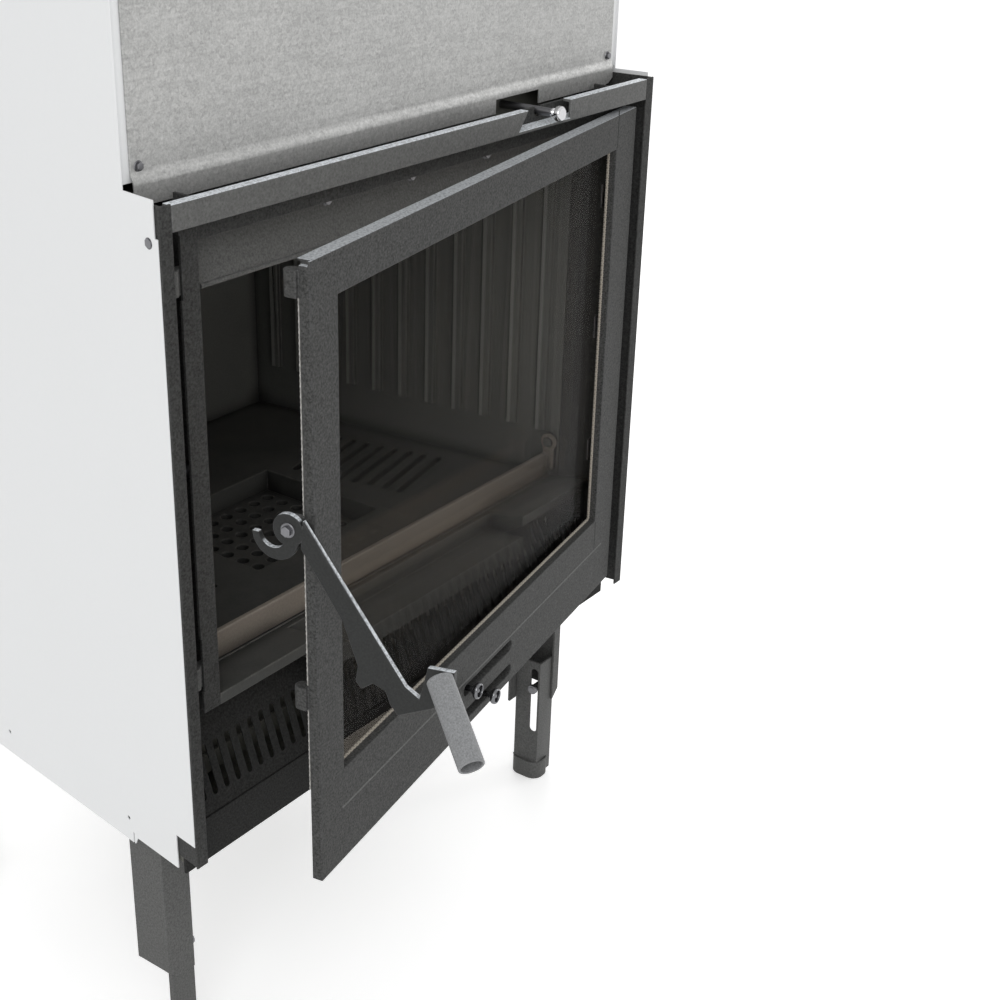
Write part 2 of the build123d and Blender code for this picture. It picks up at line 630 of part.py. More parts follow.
with BuildPart(insert) as hood_top:
    with BuildSketch(insert.offset(casing_top - sheet)):
        outline(plan(lambda y: casing_half(y, sheet + seat), hood_y + sheet + seat, casing_back - sheet - seat))
        with Locations((0, throat_y)):
            Circle(flue_radius + 4, mode=Mode.SUBTRACT)
        with Locations((-spigot_x, spigot_y), (spigot_x, spigot_y)):
            Circle(spigot_radius - sheet, mode=Mode.SUBTRACT)
    extrude(amount=sheet)
hood_top.part.label = "hood_top"
export_step(hood_top.part, "parts/hood_top.step")

with BuildPart(insert) as air_spigots:
    with BuildSketch(insert.offset(casing_top + seat)):
        with Locations((-spigot_x, spigot_y), (spigot_x, spigot_y)):
            Circle(spigot_radius + 9)
            Circle(spigot_radius - sheet, mode=Mode.SUBTRACT)
    extrude(amount=sheet)
    with BuildSketch(insert.offset(casing_top + seat)):
        with Locations((-spigot_x, spigot_y), (spigot_x, spigot_y)):
            Circle(spigot_radius)
            Circle(spigot_radius - sheet, mode=Mode.SUBTRACT)
    extrude(amount=spigot_rise)
air_spigots.part.label = "air_spigots"
export_step(air_spigots.part, "parts/air_spigots.step")

screw_z, screw_in = hood_fold + 11.5, 8.0
with BuildPart(insert) as casing_screws:
    for side in (-1, 1):
        for z in (screw_z, casing_top - 20):
            with BuildSketch(front_plane(insert, hood_y - seat)):
                with Locations((side * (hood_half - screw_in), z)):
                    RegularPolygon(3.6, 6)
            extrude(amount=3)
casing_screws.part.label = "casing_screws"
export_step(casing_screws.part, "parts/casing_screws.step")

tray_half = lambda y: casing_half(y, sheet + post_plate + 3 * seat)
with BuildPart(insert) as base_tray:
    with BuildSketch(insert.offset(tray_low)):
        outline(plan(tray_half, tray_front, casing_back - sheet - seat))
    extrude(amount=tray_high - tray_low)
    with BuildSketch(insert.offset(tray_low + plate)):
        outline(plan(tray_half, tray_front + plate, casing_back - sheet - seat - plate, grow=-plate))
    extrude(amount=tray_high - tray_low, mode=Mode.SUBTRACT)
    block((-190, 190), (150, 400), (tray_low - 1, tray_low + plate + 1), mode=Mode.SUBTRACT)
base_tray.part.label = "base_tray"
export_step(base_tray.part, "parts/base_tray.step")

with BuildPart(insert) as cross_members:
    for y in (member_front, member_rear):
        block((-member_half, member_half), (y, y + member_width), (tray_low + plate + seat, base_z - seat))
        block((-member_half - 1, member_half + 1), (y + plate, y + member_width - plate),
              (tray_low, base_z - plate - seat), mode=Mode.SUBTRACT)
cross_members.part.label = "cross_members"
export_step(cross_members.part, "parts/cross_members.step")

# ------------------------------------------------------------------ feet

corners = {
    "front_left": (-1, leg_outer_front, leg_front_y, 1, leg_width - 2.3),
    "front_right": (1, leg_outer_front, leg_front_y, 1, 12.0),
    "rear_left": (-1, leg_outer_rear, leg_rear_y, -1, 12.0),
    "rear_right": (1, leg_outer_rear, leg_rear_y, -1, 12.0),
}
web_inset = leg_width - leg_plate            # foot's slotted web, in from the bracket's outer face
foot_side = leg_plate + seat + free
tab_width = 48.0                             # bracket's inner flange
bracket_rise, flange_cut = 12.0, 12.0        # slanted lower end of the bracket's outer side

with BuildPart(insert) as leg_brackets:
    top = tray_low - seat
    for side, outer, y, inward, flange_width in corners.values():
        block((side * outer, side * (outer - leg_plate)), (y, y + inward * leg_depth),
              (bracket_bottom + bracket_rise, top))
        block((side * outer, side * (outer - flange_width)), (y, y + inward * leg_plate), (bracket_bottom, top))
        rear = y + inward * leg_depth
        block((side * outer, side * (outer - tab_width)), (rear, rear - inward * leg_plate),
              (bracket_bottom, top))
        block((side * outer, side * (outer - leg_width)), (y, rear), (top, top - leg_plate))
        with BuildSketch(front_plane(insert, (y + rear) / 2)):
            outline([
                (side * (outer + 1), bracket_bottom - 1), (side * (outer + 1), bracket_bottom + bracket_rise),
                (side * outer, bracket_bottom + bracket_rise), (side * (outer - flange_cut), bracket_bottom),
                (side * (outer - flange_cut), bracket_bottom - 1),
            ])
        extrude(amount=leg_depth, both=True, mode=Mode.SUBTRACT)
leg_brackets.part.label = "leg_brackets"
export_step(leg_brackets.part, "parts/leg_brackets.step")

with BuildPart(insert) as leg_bolts:
    for side, outer, y, inward, _ in corners.values():
        at = (y + inward * foot_bolt_in, foot_bolt_z)
        near, web = outer - leg_plate - seat, outer - web_inset
        bar("X", at, foot_bolt_radius, (side * near, side * (web - leg_plate - 6)))
        bar("X", at, foot_bolt_radius + 0.6, (side * near, side * (web + free)))
        bar("X", at, foot_bolt_radius + 2, (side * (web - leg_plate - free), side * (web - leg_plate - 5)))
leg_bolts.part.label = "leg_bolts"
export_step(leg_bolts.part, "parts/leg_bolts.step")

foot_bottom = -leg_height
slot_top = foot_bolt_z + slot_above_bolt
for corner, (side, outer, y, inward, _) in corners.items():
    front, back = y + inward * foot_side, y + inward * (leg_depth - foot_side)
    web = outer - web_inset
    with BuildPart(insert) as leg_foot:
        block((side * web, side * (web - leg_plate)), (front, back), (foot_bottom + 4, foot_top))
        block((side * (outer - 2 * leg_plate), side * (web - leg_plate)), (front, front + inward * leg_plate),
              (foot_bottom + 4, foot_top))
        slot_y, slot_z = y + inward * foot_bolt_in, slot_top - foot_slot / 2
        block((side * (web + 1), side * (web - leg_plate - 1)),
              (slot_y - foot_slot_width / 2, slot_y + foot_slot_width / 2),
              (slot_z - (foot_slot - foot_slot_width) / 2, slot_z + (foot_slot - foot_slot_width) / 2),
              mode=Mode.SUBTRACT)
        for end in (-1, 1):
            bar("X", (slot_y, slot_z + end * (foot_slot - foot_slot_width) / 2), foot_slot_width / 2,
                (side * (web + 1), side * (web - leg_plate - 1)), mode=Mode.SUBTRACT)
        with BuildSketch(insert.offset(foot_bottom)):
            with Locations((side * (web + 8), (front + back) / 2)):
                RectangleRounded(32, leg_depth, 14)
        extrude(amount=shoe_height)
    leg_foot.part.label = f"leg_foot_{corner}"
    export_step(leg_foot.part, f"parts/leg_foot_{corner}.step")

# ------------------------------------------------------------------ hinges

with BuildPart(insert) as hinge_lugs:
    for side in (-1, 1):
        for top in (upper_lug_z - lug_gap, lower_lug_z - lug_gap):
            barrel_y = hinge_y if side > 0 else hinge_y + 3.7
            bar("Z", (side * hinge_x, barrel_y), barrel_radius - 0.4, (top - lug_height, top))
            block((side * hinge_x, side * (strip_inner + plate + seat)),
                  (strip_y + plate + seat, barrel_y + barrel_radius - 0.4), (top - lug_height, top))
            if side > 0:
                bar("Z", (hinge_x, hinge_y), pin_radius + 0.02, (top - lug_height - 1, top + 1),
                    mode=Mode.SUBTRACT)
hinge_lugs.part.label = "hinge_lugs"
export_step(hinge_lugs.part, "parts/hinge_lugs.step")

with BuildPart(insert) as hinge_pins:
    for top in (upper_lug_z - lug_gap, lower_lug_z - lug_gap):
        bar("Z", (hinge_x, hinge_y), pin_radius, (top - lug_height, top + lug_gap + lug_height - 3))
        bar("Z", (hinge_x, hinge_y), barrel_radius - 0.6, (top + seat, top + lug_gap - free))
hinge_pins.part.label = "hinge_pins"
export_step(hinge_pins.part, "parts/hinge_pins.step")

door_face_y = hinge_y + door_front
catch_y = door_face_y - catch_out
with BuildPart(insert) as catch_pin:
    post_side = -between_posts(catch_y + catch_radius)
    bar("X", (catch_y, catch_z), catch_radius, (post_side, -strip_inner - plate - seat))
    bar("X", (catch_y, catch_z), catch_radius + 4, (-strip_inner - plate - seat, -strip_inner - plate - 5))
catch_pin.part.label = "catch_pin"
export_step(catch_pin.part, "parts/catch_pin.step")

# ------------------------------------------------------------------ door

door_rear = door_front + door_plate
glass_rear = door_rear - 1 + tape + glass_plate
glass_span = (glass_left - glass_cover, glass_right + glass_cover)
glass_rise = (glass_low - glass_cover, glass_high + glass_cover)
mid_x = -hinge_x                                     # door frame X of the insert's middle
rows = (upper_slide_z, lower_slide_z)
knuckle_y, slit_in = 1.0, 4.0                        # spare knuckles and corner slit at the free edge

with BuildPart(door) as door_frame:
    block((door_free_edge, door_hinge_edge), (door_front, door_rear), (door_low, door_high))
    block((glass_left, glass_right), (door_front - 1, door_rear + 1), (glass_low, glass_high), mode=Mode.SUBTRACT)
    block((glass_span[0] - seat, glass_span[1] + seat), (door_rear - 1, door_rear + 1),
          (glass_rise[0] - seat, glass_rise[1] + seat), mode=Mode.SUBTRACT)
    for z in rows:
        with BuildSketch(front_plane(door, door_rear)):
            with Locations((mid_x, z)):
                SlotOverall(2 * air_slot_pitch + air_slot_length, air_slot_height)
        extrude(amount=door_plate, mode=Mode.SUBTRACT)
    for z in (upper_lug_z, lower_lug_z):
        bar("Z", (0, 0), barrel_radius, (z, z + lug_height))
        block((-8, 0), (door_rear - 1, door_rear + 3.8), (z, z + lug_height))
        bar("Z", (0, 0), pin_radius + running, (z - 1, z + lug_height + 1), mode=Mode.SUBTRACT)
        bar("Z", (2 * mid_x, knuckle_y), barrel_radius, (z, z + lug_height))
        block((2 * mid_x - barrel_radius, 2 * mid_x + barrel_radius), (door_rear, knuckle_y), (z, z + lug_height))
    block((door_free_edge + slit_in, door_hinge_edge), (door_rear, door_front + door_top_depth),
          (door_high - door_top_plate, door_high))
    block((door_free_edge - 1, door_free_edge + slit_in), (door_front + 2, door_rear + 1),
          (door_high - door_top_plate - 2, door_high + 1), mode=Mode.SUBTRACT)
door_frame.part.label = "door_frame"
export_step(door_frame.part, "parts/door_frame.step")

with BuildPart(door) as door_glass:
    block(glass_span, (glass_rear - glass_plate, glass_rear), glass_rise)
door_glass.part.label = "door_glass"
export_step(door_glass.part, "parts/door_glass.step")

with BuildPart(door) as glass_gasket:
    tape_back = door_rear - 1 + tape - 0.02
    block(glass_span, (door_rear - 1 + 0.02, tape_back), glass_rise)
    block((glass_left, glass_right), (door_rear - 2, door_rear + 2), (glass_low, glass_high), mode=Mode.SUBTRACT)
glass_gasket.part.label = "glass_gasket"
export_step(glass_gasket.part, "parts/glass_gasket.step")

ear_x = (door_free_edge + 0.5, door_free_edge + 4.5)
bolt_end, nut_radius = ear_x[1] + 2.6, 6.0
rope_rear = strip_y - free - hinge_y
rope_left, rope_right = ear_x[1] + 0.2, mid_x + strip_outer - 4
rope_low, rope_high = lip_low, mouth_top + 9
with BuildPart(door) as door_gasket:
    block((rope_left, rope_right), (door_rear, rope_rear), (rope_low, rope_high))
    inside, deep = (rope_left + rope_width, rope_right - rope_width), (door_rear - 1, rope_rear + 1)
    block(inside, deep, (glass_rise[0] - 0.5, mouth_top + 1), mode=Mode.SUBTRACT)
    block(inside, deep, (rope_low - 1, glass_rise[0] - 1), mode=Mode.SUBTRACT)
    for z in (upper_lug_z, lower_lug_z):
        block((rope_left - 1, 2 * mid_x + barrel_radius + free), deep, (z - free, z + lug_height + free),
              mode=Mode.SUBTRACT)
    block((rope_left - 1, bolt_end + free), deep, (eye_z - nut_radius - free, eye_z + nut_radius + free),
          mode=Mode.SUBTRACT)
door_gasket.part.label = "door_gasket"
export_step(door_gasket.part, "parts/door_gasket.step")

clip_width, clip_tongue = 24.0, 1.2
with BuildPart(door) as glass_clips:
    for share in (0.2, 0.54, 0.88):
        z = glass_low + share * (glass_high - glass_low)
        for edge, out in ((glass_span[0], -1), (glass_span[1], 1)):
            block((edge + out * 0.3, edge + out * 5), (door_rear, glass_rear + seat + clip_tongue),
                  (z - clip_width / 2, z + clip_width / 2))
            block((edge - out * 9, edge + out * 0.6), (glass_rear + seat, glass_rear + seat + clip_tongue),
                  (z - clip_width / 2, z + clip_width / 2))
            block((edge + out * 1.3, edge + out * 6), (glass_rear + 0.1, glass_rear + 3),
                  (z - clip_width, z + clip_width), mode=Mode.SUBTRACT)
glass_clips.part.label = "glass_clips"
export_step(glass_clips.part, "parts/glass_clips.step")

guide_height = 2.6
guide_depth = slide_plate + 2 * free
with BuildPart(door) as slide_guides:
    span = (mid_x - slide_half - 22, mid_x + slide_half + 22)
    reach = slide_height / 2 + free
    for z in rows:
        for side in (-1, 1):
            block(span, (door_rear, door_rear + guide_depth), (z + side * reach, z + side * (reach + guide_height)))
    block(span, (door_rear + guide_depth, door_rear + guide_depth + 1),
          (lower_slide_z - reach - guide_height, upper_slide_z + reach + guide_height))
    for z in rows:
        with BuildSketch(front_plane(door, door_rear + guide_depth + 1)):
            with Locations((mid_x, z)):
                with GridLocations(air_slot_pitch, 1, 3, 1):
                    SlotOverall(air_slot_length, air_slot_height)
        extrude(amount=1, mode=Mode.SUBTRACT)
slide_guides.part.label = "slide_guides"
export_step(slide_guides.part, "parts/slide_guides.step")

pivot_y = door_front - eye_out
with BuildPart(door) as handle_bracket:
    ear_radius = pivot_y - door_rear - seat
    block(ear_x, (door_rear, pivot_y), (eye_z - ear_radius, eye_z + ear_radius))
    bar("X", (pivot_y, eye_z), ear_radius, ear_x)
    bar("X", (pivot_y, eye_z), pivot_radius + 0.02, (ear_x[0] - 1, ear_x[1] + 1), mode=Mode.SUBTRACT)
handle_bracket.part.label = "handle_bracket"
export_step(handle_bracket.part, "parts/handle_bracket.step")

lever_near = door_free_edge - lever_gap              # lever's face toward the door
lever_far = lever_near - lever_plate
with BuildPart(door) as pivot_bolt:
    bar("X", (pivot_y, eye_z), pivot_radius, (lever_far - free - 3, bolt_end))
    bar("X", (pivot_y, eye_z), 7, (ear_x[0] - seat, lever_near + free))
    bar("X", (pivot_y, eye_z), 6.6, (lever_far - free, lever_far - free - 1))
    with BuildSketch(side_plane(door, lever_far - free - 1)):
        with Locations((pivot_y, eye_z)):
            RegularPolygon(4.6, 6)
    extrude(amount=-3.2)
    bar("X", (pivot_y, eye_z), nut_radius, (ear_x[1] + seat, bolt_end))
pivot_bolt.part.label = "pivot_bolt"
export_step(pivot_bolt.part, "parts/pivot_bolt.step")


def ahead(out, z):
    """Sketch point on the lever's plane: out from the door's face, and height."""
    return (door_front - out, z)


with BuildPart(door) as handle_lever:
    with BuildSketch(side_plane(door, lever_far)):
        with Locations(ahead(hook_out, hook_z)):
            Circle(hook_outer)
        with Locations(ahead(hook_out - 2.5, hook_z + 1.5)):
            Circle(hook_inner, mode=Mode.SUBTRACT)
        outline([
            ahead(hook_out - 30, hook_z), ahead(hook_out + 4, hook_z), ahead(hook_out + 30, hook_z + 12),
            ahead(hook_out + 30, hook_z + 30), ahead(hook_out - 30, hook_z + 30),
        ], mode=Mode.SUBTRACT)
        with Locations(ahead(eye_out, eye_z)):
            Circle(eye_radius)
        outline([
            ahead(-5.4, 361), ahead(84.5, 239), ahead(97, 232), ahead(104, 262), ahead(127, 264), ahead(126, 240),
            ahead(108, 226), ahead(78, 211), ahead(71, 219), ahead(67, 230), ahead(56, 234), ahead(45, 226),
            ahead(40, 232), ahead(42, 246), ahead(29.6, 281), ahead(-8, 337),
        ])
        with Locations(ahead(eye_out, eye_z)):
            Circle(pivot_radius + running, mode=Mode.SUBTRACT)
    extrude(amount=lever_plate)
handle_lever.part.label = "handle_lever"
export_step(handle_lever.part, "parts/handle_lever.step")

grip_way = Vector(-0.56, -0.65, -0.50).normalized()    # door frame, from the grip's top to its open end
grip_x = lever_far - seat - grip_radius * sqrt(1 - grip_way.X**2)
grip_frame = Plane(
    door.from_local_coords(Vector(grip_x, door_front - grip_out, grip_z)),
    z_dir=door.x_dir * grip_way.X + door.y_dir * grip_way.Y + door.z_dir * grip_way.Z,
)
with BuildPart() as handle_grip:
    with BuildSketch(grip_frame):
        Circle(grip_radius)
        Circle(grip_radius - grip_wall, mode=Mode.SUBTRACT)
    extrude(amount=grip_length)
handle_grip.part.label = "handle_grip"
export_step(handle_grip.part, "parts/handle_grip.step")

# ------------------------------------------------------------------ air slides


slide_rear = door_rear + free + slide_plate


def air_slide(z, knob_x):
    """A slotted plate behind the door's skirt: its lands stand behind the skirt's slots at rest."""
    block((mid_x - slide_half, mid_x + slide_half), (door_rear + free, slide_rear),
          (z - slide_height / 2, z + slide_height / 2))
    lands_off = round((mid_x - knob_x) / air_slot_pitch) * air_slot_pitch
    with BuildSketch(front_plane(door, slide_rear)) as slots:
        with Locations((knob_x + lands_off, z)):
            with GridLocations(air_slot_pitch, 1, 4, 1):
                SlotOverall(slide_slot_length, air_slot_height)
    extrude(slots.sketch, amount=slide_plate, mode=Mode.SUBTRACT)


def slide_knob(z, knob_x):
    """A knob ahead of the skirt and its stem, which passes through a slot to the slide."""
    head = door_front - knob_ahead
    bar("Y", (knob_x, z), stem_radius, (head + 1, door_rear + free - 0.02))
    bar("Y", (knob_x, z), knob_radius, (head, head + 5.5))
    bar("Y", (knob_x, z), knob_radius - 4, (head + 5.5, door_front - 8.4 + 4))


with BuildPart(door) as upper_air_slide:
    air_slide(upper_slide_z, upper_knob_x)
upper_air_slide.part.label = "upper_air_slide"
export_step(upper_air_slide.part, "parts/upper_air_slide.step")

with BuildPart(door) as lower_air_slide:
    air_slide(lower_slide_z, lower_knob_x)
lower_air_slide.part.label = "lower_air_slide"
export_step(lower_air_slide.part, "parts/lower_air_slide.step")

with BuildPart(door) as upper_slide_knob:
    slide_knob(upper_slide_z, upper_knob_x)
upper_slide_knob.part.label = "upper_slide_knob"
export_step(upper_slide_knob.part, "parts/upper_slide_knob.step")

with BuildPart(door) as lower_slide_knob:
    slide_knob(lower_slide_z, lower_knob_x)
lower_slide_knob.part.label = "lower_slide_knob"
export_step(lower_slide_knob.part, "parts/lower_slide_knob.step")
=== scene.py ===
"""Dresses the fireplace insert: sheet edges, folds, ropes, screws, finishes, studio and camera."""

import json
from math import cos, pi, radians, sin, tan

import bmesh
import bpy
from mathutils import Matrix, Vector


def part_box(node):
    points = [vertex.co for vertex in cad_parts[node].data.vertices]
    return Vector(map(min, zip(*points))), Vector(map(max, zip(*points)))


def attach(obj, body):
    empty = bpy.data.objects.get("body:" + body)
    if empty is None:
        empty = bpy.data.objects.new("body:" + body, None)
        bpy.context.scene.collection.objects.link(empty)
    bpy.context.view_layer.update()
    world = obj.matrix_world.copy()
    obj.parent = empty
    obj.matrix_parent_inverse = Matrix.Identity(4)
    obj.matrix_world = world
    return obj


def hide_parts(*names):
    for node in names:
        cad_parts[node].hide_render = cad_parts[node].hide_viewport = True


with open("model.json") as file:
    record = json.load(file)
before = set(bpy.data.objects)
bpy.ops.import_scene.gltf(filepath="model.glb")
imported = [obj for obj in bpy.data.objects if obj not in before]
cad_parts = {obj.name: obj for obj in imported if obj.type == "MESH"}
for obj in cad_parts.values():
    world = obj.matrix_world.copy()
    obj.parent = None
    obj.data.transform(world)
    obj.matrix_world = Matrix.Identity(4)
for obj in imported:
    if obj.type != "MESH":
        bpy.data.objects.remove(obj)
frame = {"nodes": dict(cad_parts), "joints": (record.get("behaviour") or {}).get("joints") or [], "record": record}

bl_info = {
    "name": "Fireplace insert dressing",
    "version": (1, 0, 0),
    "blender": (4, 5, 0),
    "location": "3D View > Sidebar > Insert",
    "description": "Builds the pieces and finishes of a fireplace insert around its CAD frame",
    "category": "Object",
}

MM = 0.001
JOINTS = {joint["name"]: joint for joint in frame["joints"]}
SLOT_OF = {part["node"]: part["material_slot"] for part in frame["record"]["subparts"]}
BODY_OF = {
    node: body
    for body, nodes in frame["record"]["behaviour"]["bodies"].items()
    for node in nodes
}

# The insert's own zero is its face, its middle and the foot of its posts.
POST_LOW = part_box("frame_post_left")[0]
INSERT = Matrix.Translation((0, POST_LOW.y, POST_LOW.z))
HALF_WIDTH = -POST_LOW.x
SIDE_TAPER = 7.5
DOOR_ANGLE = -radians(JOINTS["door_hinge"]["range_deg"][0])
DOOR = Matrix.Translation(JOINTS["door_hinge"]["pos_m"]) @ Matrix.Rotation(DOOR_ANGLE, 4, "Z")

# Places on the insert, in millimetres of its own frame.
HOOD_SCREW_X, HOOD_SCREW_Y = 326.5, 44.0
HOOD_SCREW_LOW, HOOD_SCREW_DROP = 612.0, 20.0
PANEL_FRONT_Y = 2.0
PANEL_SCREW_Y, PANEL_SCREW_Z, PANEL_SCREW_SINK = 14.0, 563.0, 0.7
DEFLECTOR_SCREWS = ((-116, 44.95, 545.0), (0, 44.95, 545.0), (116, 44.95, 545.0))
PULL_KNOB = (162.0, -0.05, 584.0)

# Places on the door, in millimetres from its hinge line and the posts' foot: -X left, -Y out.
DOOR_FACE = -16.0
BORDER_LEFT, BORDER_RIGHT, BORDER_Z = -608.0, -26.0, 70.0
SEAM_X, SEAM_Y = -46.0, -15.75
SEAM_ENDS = ((569.0, 531.0), (106.0, BORDER_Z))
KNOBS = {"upper": (-364.5, 58.5), "lower": (-323.5, 30.0)}
PIVOT_Y, PIVOT_Z = 2.9, 350.2
PIVOT_SCREW_X, PIVOT_STUD_X = -652.3, -646.7

# Middle lines of the ropes: left, right, lower end and top, with their depth in the door.
DOOR_ROPE, DOOR_ROPE_Y = (-634.0, -15.0, 104.5, 558.4), -4.05
GLASS_ROPE, GLASS_ROPE_Y = (-601.9, -49.1, 109.1, 528.2), -7.9

# Profiles of the turned pieces: (radius, height) in millimetres.
PIVOT_PROFILE = (
    (0, 0), (6.9, 0), (6.9, 4.6), (4.0, 4.6), (4.0, 8.7), (5.9, 8.7), (5.9, 11.3), (0, 11.3),
)
SLIDE_KNOB_PROFILE = (
    (0, -10.7), (3, -10.7), (3, 4.4), (4.3, 4.6), (4.5, 5.6), (4.3, 6.6), (6.8, 7.2), (8.2, 8.4),
    (8.5, 10.0), (8.2, 11.6), (7.4, 12.6), (6.8, 12.9), (6.2, 12.6), (5.9, 11.6), (5.7, 9.0),
    (2.2, 8.8), (2.0, 11.0), (1.2, 11.6), (0, 11.7),
)
PULL_KNOB_PROFILE = (
    (0, 0), (4.5, 0), (4.5, 1.5), (3.4, 3.0), (5.0, 4.6), (7.0, 5.6), (7.5, 7.0), (7.5, 9.5),
    (7.0, 11.0), (5.8, 11.9), (0, 12.0),
)

# Where a finish changes, in metres: heights, then the front edge and the pitch of the ribs.
# The door's top faces get a painted highlight above this height.
DOOR_HIGHLIGHT_FROM = POST_LOW.z + 0.56
# The painted shadow and highlight along the ribs lie above this height.
RIB_FOOT = POST_LOW.z + 0.194
# The glass gets darker and less clear towards the bottom, below this height and over this depth.
GLASS_DARK_BELOW, GLASS_DARK_DEPTH = POST_LOW.z + 0.19, 0.07
# The painted rib lines: the front edge of the first rib and their pitch.
FIRST_RIB, RIB_PITCH = POST_LOW.y + 0.0768, 0.03668

WORN_STEEL = (0.30, 0.30, 0.31)
# Painted highlight: the pale colour laid on faces that look up.
PAINTED_TOP_HIGHLIGHT = (0.82, 0.86, 0.90, 1)
WHITE, FLOOR_COLOR = (1, 1, 1, 1), (0.90, 0.90, 0.90, 1)

# The hood's fold, in metres: two heights above its lower edge that hold it, and a length that
# only the lines along the fold exceed there.
FOLD_LOW, FOLD_HIGH, FOLD_LINE = 0.015, 0.030, 0.02

# The studio: each lamp's name, place, size and power; then how bright the camera sees the white.
LAMPS = (
    ("key", (3.0, -1.5, 1.6), 0.8, 8),
    ("fill", (-2.3, -1.7, 2.5), 1.6, 28),
    ("rim", (2.7, 1.9, 2.35), 1.6, 22),
)
LAMP_TARGET = (0, 0, 0.7)
FLOOR_SIZE, FLOOR_GLOW = 30.0, 0.42
WORLD_LEVEL, WORLD_GLOW = 0.76, 0.24
CAMERA_PLACE = (-1.1600, -0.8786 + POST_LOW.y, 1.1955)
CAMERA_TURN = (radians(65.044), radians(-1.635), radians(-54.234))
CAMERA_LENS, CAMERA_SENSOR = 59.12, 36.0


def at(place, x, y, z):
    """A point given in millimetres of the insert's or the door's own frame."""
    return place @ Vector((x * MM, y * MM, z * MM))


# ------------------------------------------------------------------ node trees


class Tree:
    """Short calls for a shader node tree."""

    def __init__(self, tree):
        self.nodes, self.links = tree.nodes, tree.links

    def add(self, kind, sockets=None, **settings):
        node = self.nodes.new("ShaderNode" + kind)
        for name, value in settings.items():
            setattr(node, name, value)
        for key, value in (sockets or {}).items():
            if isinstance(value, bpy.types.NodeSocket):
                self.links.new(value, node.inputs[key])
            else:
                node.inputs[key].default_value = value
        return node

    def math(self, operation, a, b=0.0, clamp=False):
        return self.add("Math", {0: a, 1: b}, operation=operation, use_clamp=clamp).outputs[0]

    def swing(self, value, amount):
        """A value of 0 to 1 turned into a swing about zero."""
        return self.math("MULTIPLY", self.math("SUBTRACT", value, 0.5), amount)

    def vector(self, operation, a, b):
        return self.add("VectorMath", {0: a, 1: b}, operation=operation).outputs

    def axis(self, vector, index):
        return self.add("SeparateXYZ", {0: vector}).outputs[index]

    def mix(self, factor, a, b, blend="MIX"):
        sockets = {0: factor, 6: a, 7: b}
        return self.add("Mix", sockets, data_type="RGBA", blend_type=blend).outputs[2]

    def ramp(self, value, *stops):
        """Grey levels at places between 0 and 1."""
        node = self.add("ValToRGB", {"Fac": value})
        ramp = node.color_ramp
        while len(ramp.elements) < len(stops):
            ramp.elements.new(0.5)
        for element, (place, shade) in zip(ramp.elements, stops):
            element.position = place
            element.color = (shade, shade, shade, 1)
        return node.outputs["Color"]

    def noise(self, vector, scale, detail=3.0, roughness=0.55):
        return self.add(
            "TexNoise",
            {"Vector": vector, "Scale": scale, "Detail": detail, "Roughness": roughness},
        ).outputs["Fac"]


def group(name, inputs, outputs, fill):
    """A shader node group with named sockets, built once."""
    if name in bpy.data.node_groups:
        return bpy.data.node_groups[name]
    made = bpy.data.node_groups.new(name, "ShaderNodeTree")
    for label, kind, default in inputs:
        socket = made.interface.new_socket(label, in_out="INPUT", socket_type="NodeSocket" + kind)
        socket.default_value = default
    for label, kind in outputs:
        made.interface.new_socket(label, in_out="OUTPUT", socket_type="NodeSocket" + kind)
    tree = Tree(made)
    entry, leave = made.nodes.new("NodeGroupInput"), made.nodes.new("NodeGroupOutput")
    for label, value in fill(tree, entry.outputs).items():
        tree.links.new(value, leave.inputs[label])
    return made


def use_group(tree, made, **values):
    sockets = {label.replace("_", " "): value for label, value in values.items()}
    return tree.add("Group", sockets, node_tree=made).outputs


def object_point(tree):
    return tree.add("TexCoord").outputs["Object"]


def grain_group():
    """Fine grain and broad cloudiness of a painted or cast surface."""

    def fill(tree, given):
        point = object_point(tree)
        fine = tree.noise(point, given["Scale"], 2.0, 0.6)
        broad = tree.noise(point, given["Cloud Scale"], 4.0)
        shift = tree.swing(fine, given["Spread"])
        cloud = tree.swing(broad, given["Cloud"])
        value = tree.math("ADD", tree.math("ADD", shift, cloud), 1.0)
        shaded = tree.add("HueSaturation", {"Value": value, "Color": given["Color"]})
        matt = tree.math("MULTIPLY", cloud, 0.35)
        rough = tree.math("ADD", given["Roughness"], matt, clamp=True)
        return {"Color": shaded.outputs[0], "Roughness": rough, "Height": fine}

    return group(
        "Surface grain",
        [
            ("Color", "Color", (0.5, 0.5, 0.5, 1)),
            ("Scale", "Float", 900.0),
            ("Spread", "Float", 0.2),
            ("Cloud Scale", "Float", 7.0),
            ("Cloud", "Float", 0.15),
            ("Roughness", "Float", 0.5),
        ],
        [("Color", "Color"), ("Roughness", "Float"), ("Height", "Float")],
        fill,
    )


